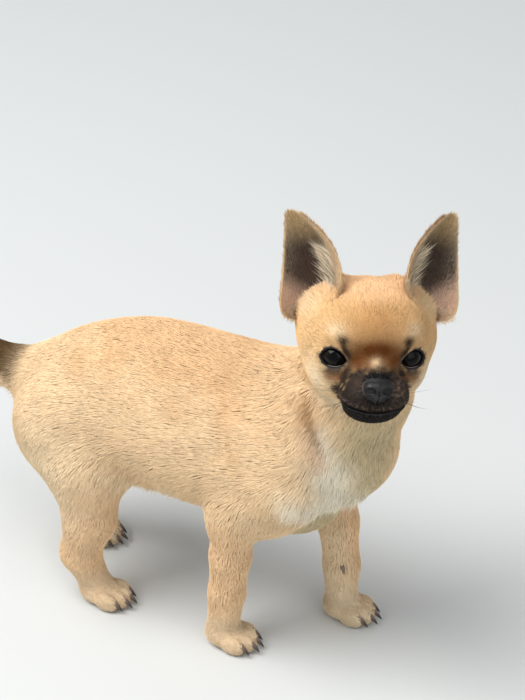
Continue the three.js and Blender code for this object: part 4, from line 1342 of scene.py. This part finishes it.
WHISKERS = [
    (38, 9.5, -17, 13), (35, 12, -18.5, 15), (32, 13.5, -20.5, 15), (38.5, 9.5, -21, 12),
    (35.5, 12.5, -22.5, 14), (32, 14, -24, 14), (39, 7, -24.5, 9), (28, 16, 9, 7), (36, 6, -33, 7),
]
WHISKER_RADIUS = 0.07
WHISKER_END = 0.015
WHISKER_BLACK = tint(48, 38, 34)
whisker_finish = painted_finish("whisker", mottle=0.1, bump_size=0.4, roughness=0.35)
whiskers = []
for side in SIDES.values():
    for x, y, z, length in WHISKERS:
        start = from_head(np.array([x, side * y, z], float))
        outward = unit(slope_of(dog_distance, start[None]))[0]
        start = onto_level(start[None], -0.6)[0]
        back = np.array([-0.75, side * 0.35, -0.1 if z < 0 else 0.6]) @ HEAD_TURN.T
        share = np.linspace(0, 1, 9)[:, None]
        path = start + length * (outward * (share - 0.35 * share**2) + 0.8 * back * share**1.6)
        along = unit(np.gradient(path, axis=0))
        across = unit(np.cross(along, [0.1, 0.2, 1.0]))
        radius = WHISKER_RADIUS * (1 - share[:, 0]) + WHISKER_END
        points, faces = tube_along(path, across, np.cross(along, across), radius, 5)
        whiskers.append((points, faces, np.tile(WHISKER_BLACK, (len(points), 1))))
points, faces, colours = joined(whiskers)
whiskers = piece_of("whiskers", points, faces, whisker_finish, colours)
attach(whiskers, "root")

# The studio
# A plain pale floor and a pale surround, with a wide soft light above and to the left of the camera
# and a weaker one to its right. The camera looks down at the dog's right side from 1.5 metres.

CAMERA_AZIMUTH = math.radians(28)
CAMERA_ELEVATION = math.radians(33)
CAMERA_DISTANCE = 1.5
CAMERA_TARGET = (np.array([45.54, 0, 170.09]) + STAND) * MM
PHOTO_SIZE = (525, 700)
PIXEL_SIZE = 0.0005
FILM_HEIGHT = 36.0
FLOOR_HALF = 4.0
FLOOR_GREY = (0.62, 0.63, 0.62, 1)
SURROUND = (0.92, 0.96, 1.0, 1)
SURROUND_STRENGTH = 0.5

floor_mesh = bpy.data.meshes.new("floor")
corners = [(FLOOR_HALF * x, FLOOR_HALF * y, 0) for x, y in ((-1, -1), (1, -1), (1, 1), (-1, 1))]
floor_mesh.from_pydata(corners, [], [(0, 1, 2, 3)])
floor_finish = bpy.data.materials.new("pale_floor")
floor_finish.use_nodes = True
floor_shader = floor_finish.node_tree.nodes["Principled BSDF"]
floor_shader.inputs["Base Color"].default_value = FLOOR_GREY
floor_shader.inputs["Roughness"].default_value = 0.9
floor_mesh.materials.append(floor_finish)
floor = bpy.data.objects.new("floor", floor_mesh)
bpy.context.scene.collection.objects.link(floor)

world = bpy.data.worlds.new("surround")
world.use_nodes = True
background = world.node_tree.nodes["Background"]
background.inputs["Color"].default_value = SURROUND
background.inputs["Strength"].default_value = SURROUND_STRENGTH
bpy.context.scene.world = world
bpy.context.scene.view_settings.view_transform = "Standard"

back = np.array([
    math.sin(CAMERA_AZIMUTH) * math.cos(CAMERA_ELEVATION),
    -math.cos(CAMERA_AZIMUTH) * math.cos(CAMERA_ELEVATION),
    math.sin(CAMERA_ELEVATION),
])
right = np.array([math.cos(CAMERA_AZIMUTH), math.sin(CAMERA_AZIMUTH), 0])
upward = np.cross(back, right)


def placed(data, name, place, toward):
    """An object at a place, its own -Z axis towards a point, its Y axis as near upright as may be."""
    backward = unit(np.array(place) - toward)
    sideways = unit(np.cross([0, 0, 1], backward))
    matrix = np.eye(4)
    matrix[:3, :3] = np.stack([sideways, np.cross(backward, sideways), backward], -1)
    matrix[:3, 3] = place
    thing = bpy.data.objects.new(name, data)
    thing.matrix_world = Matrix(matrix.tolist())
    bpy.context.scene.collection.objects.link(thing)
    return thing


LIGHTS = {
    "key": {"way": 1.0 * upward + 0.9 * back - 0.8 * right, "far": 1.6, "size": 1.2, "power": 34.5},
    "fill": {"way": 0.1 * upward + 0.9 * back + 0.5 * right, "far": 2.0, "size": 1.6, "power": 8.4},
}
for name, plan in LIGHTS.items():
    lamp = bpy.data.lights.new(name, "AREA")
    lamp.size = plan["size"]
    lamp.energy = plan["power"]
    placed(lamp, name, CAMERA_TARGET + unit(plan["way"]) * plan["far"], CAMERA_TARGET)

camera_data = bpy.data.cameras.new("camera")
camera_data.sensor_fit = "VERTICAL"
camera_data.sensor_height = FILM_HEIGHT
camera_data.sensor_width = FILM_HEIGHT
camera_data.lens = CAMERA_DISTANCE / PIXEL_SIZE * FILM_HEIGHT / PHOTO_SIZE[1]
camera_data.clip_end = 50
camera_data.dof.use_dof = False
camera = placed(camera_data, "camera", CAMERA_TARGET + back * CAMERA_DISTANCE, CAMERA_TARGET)
bpy.context.scene.camera = camera
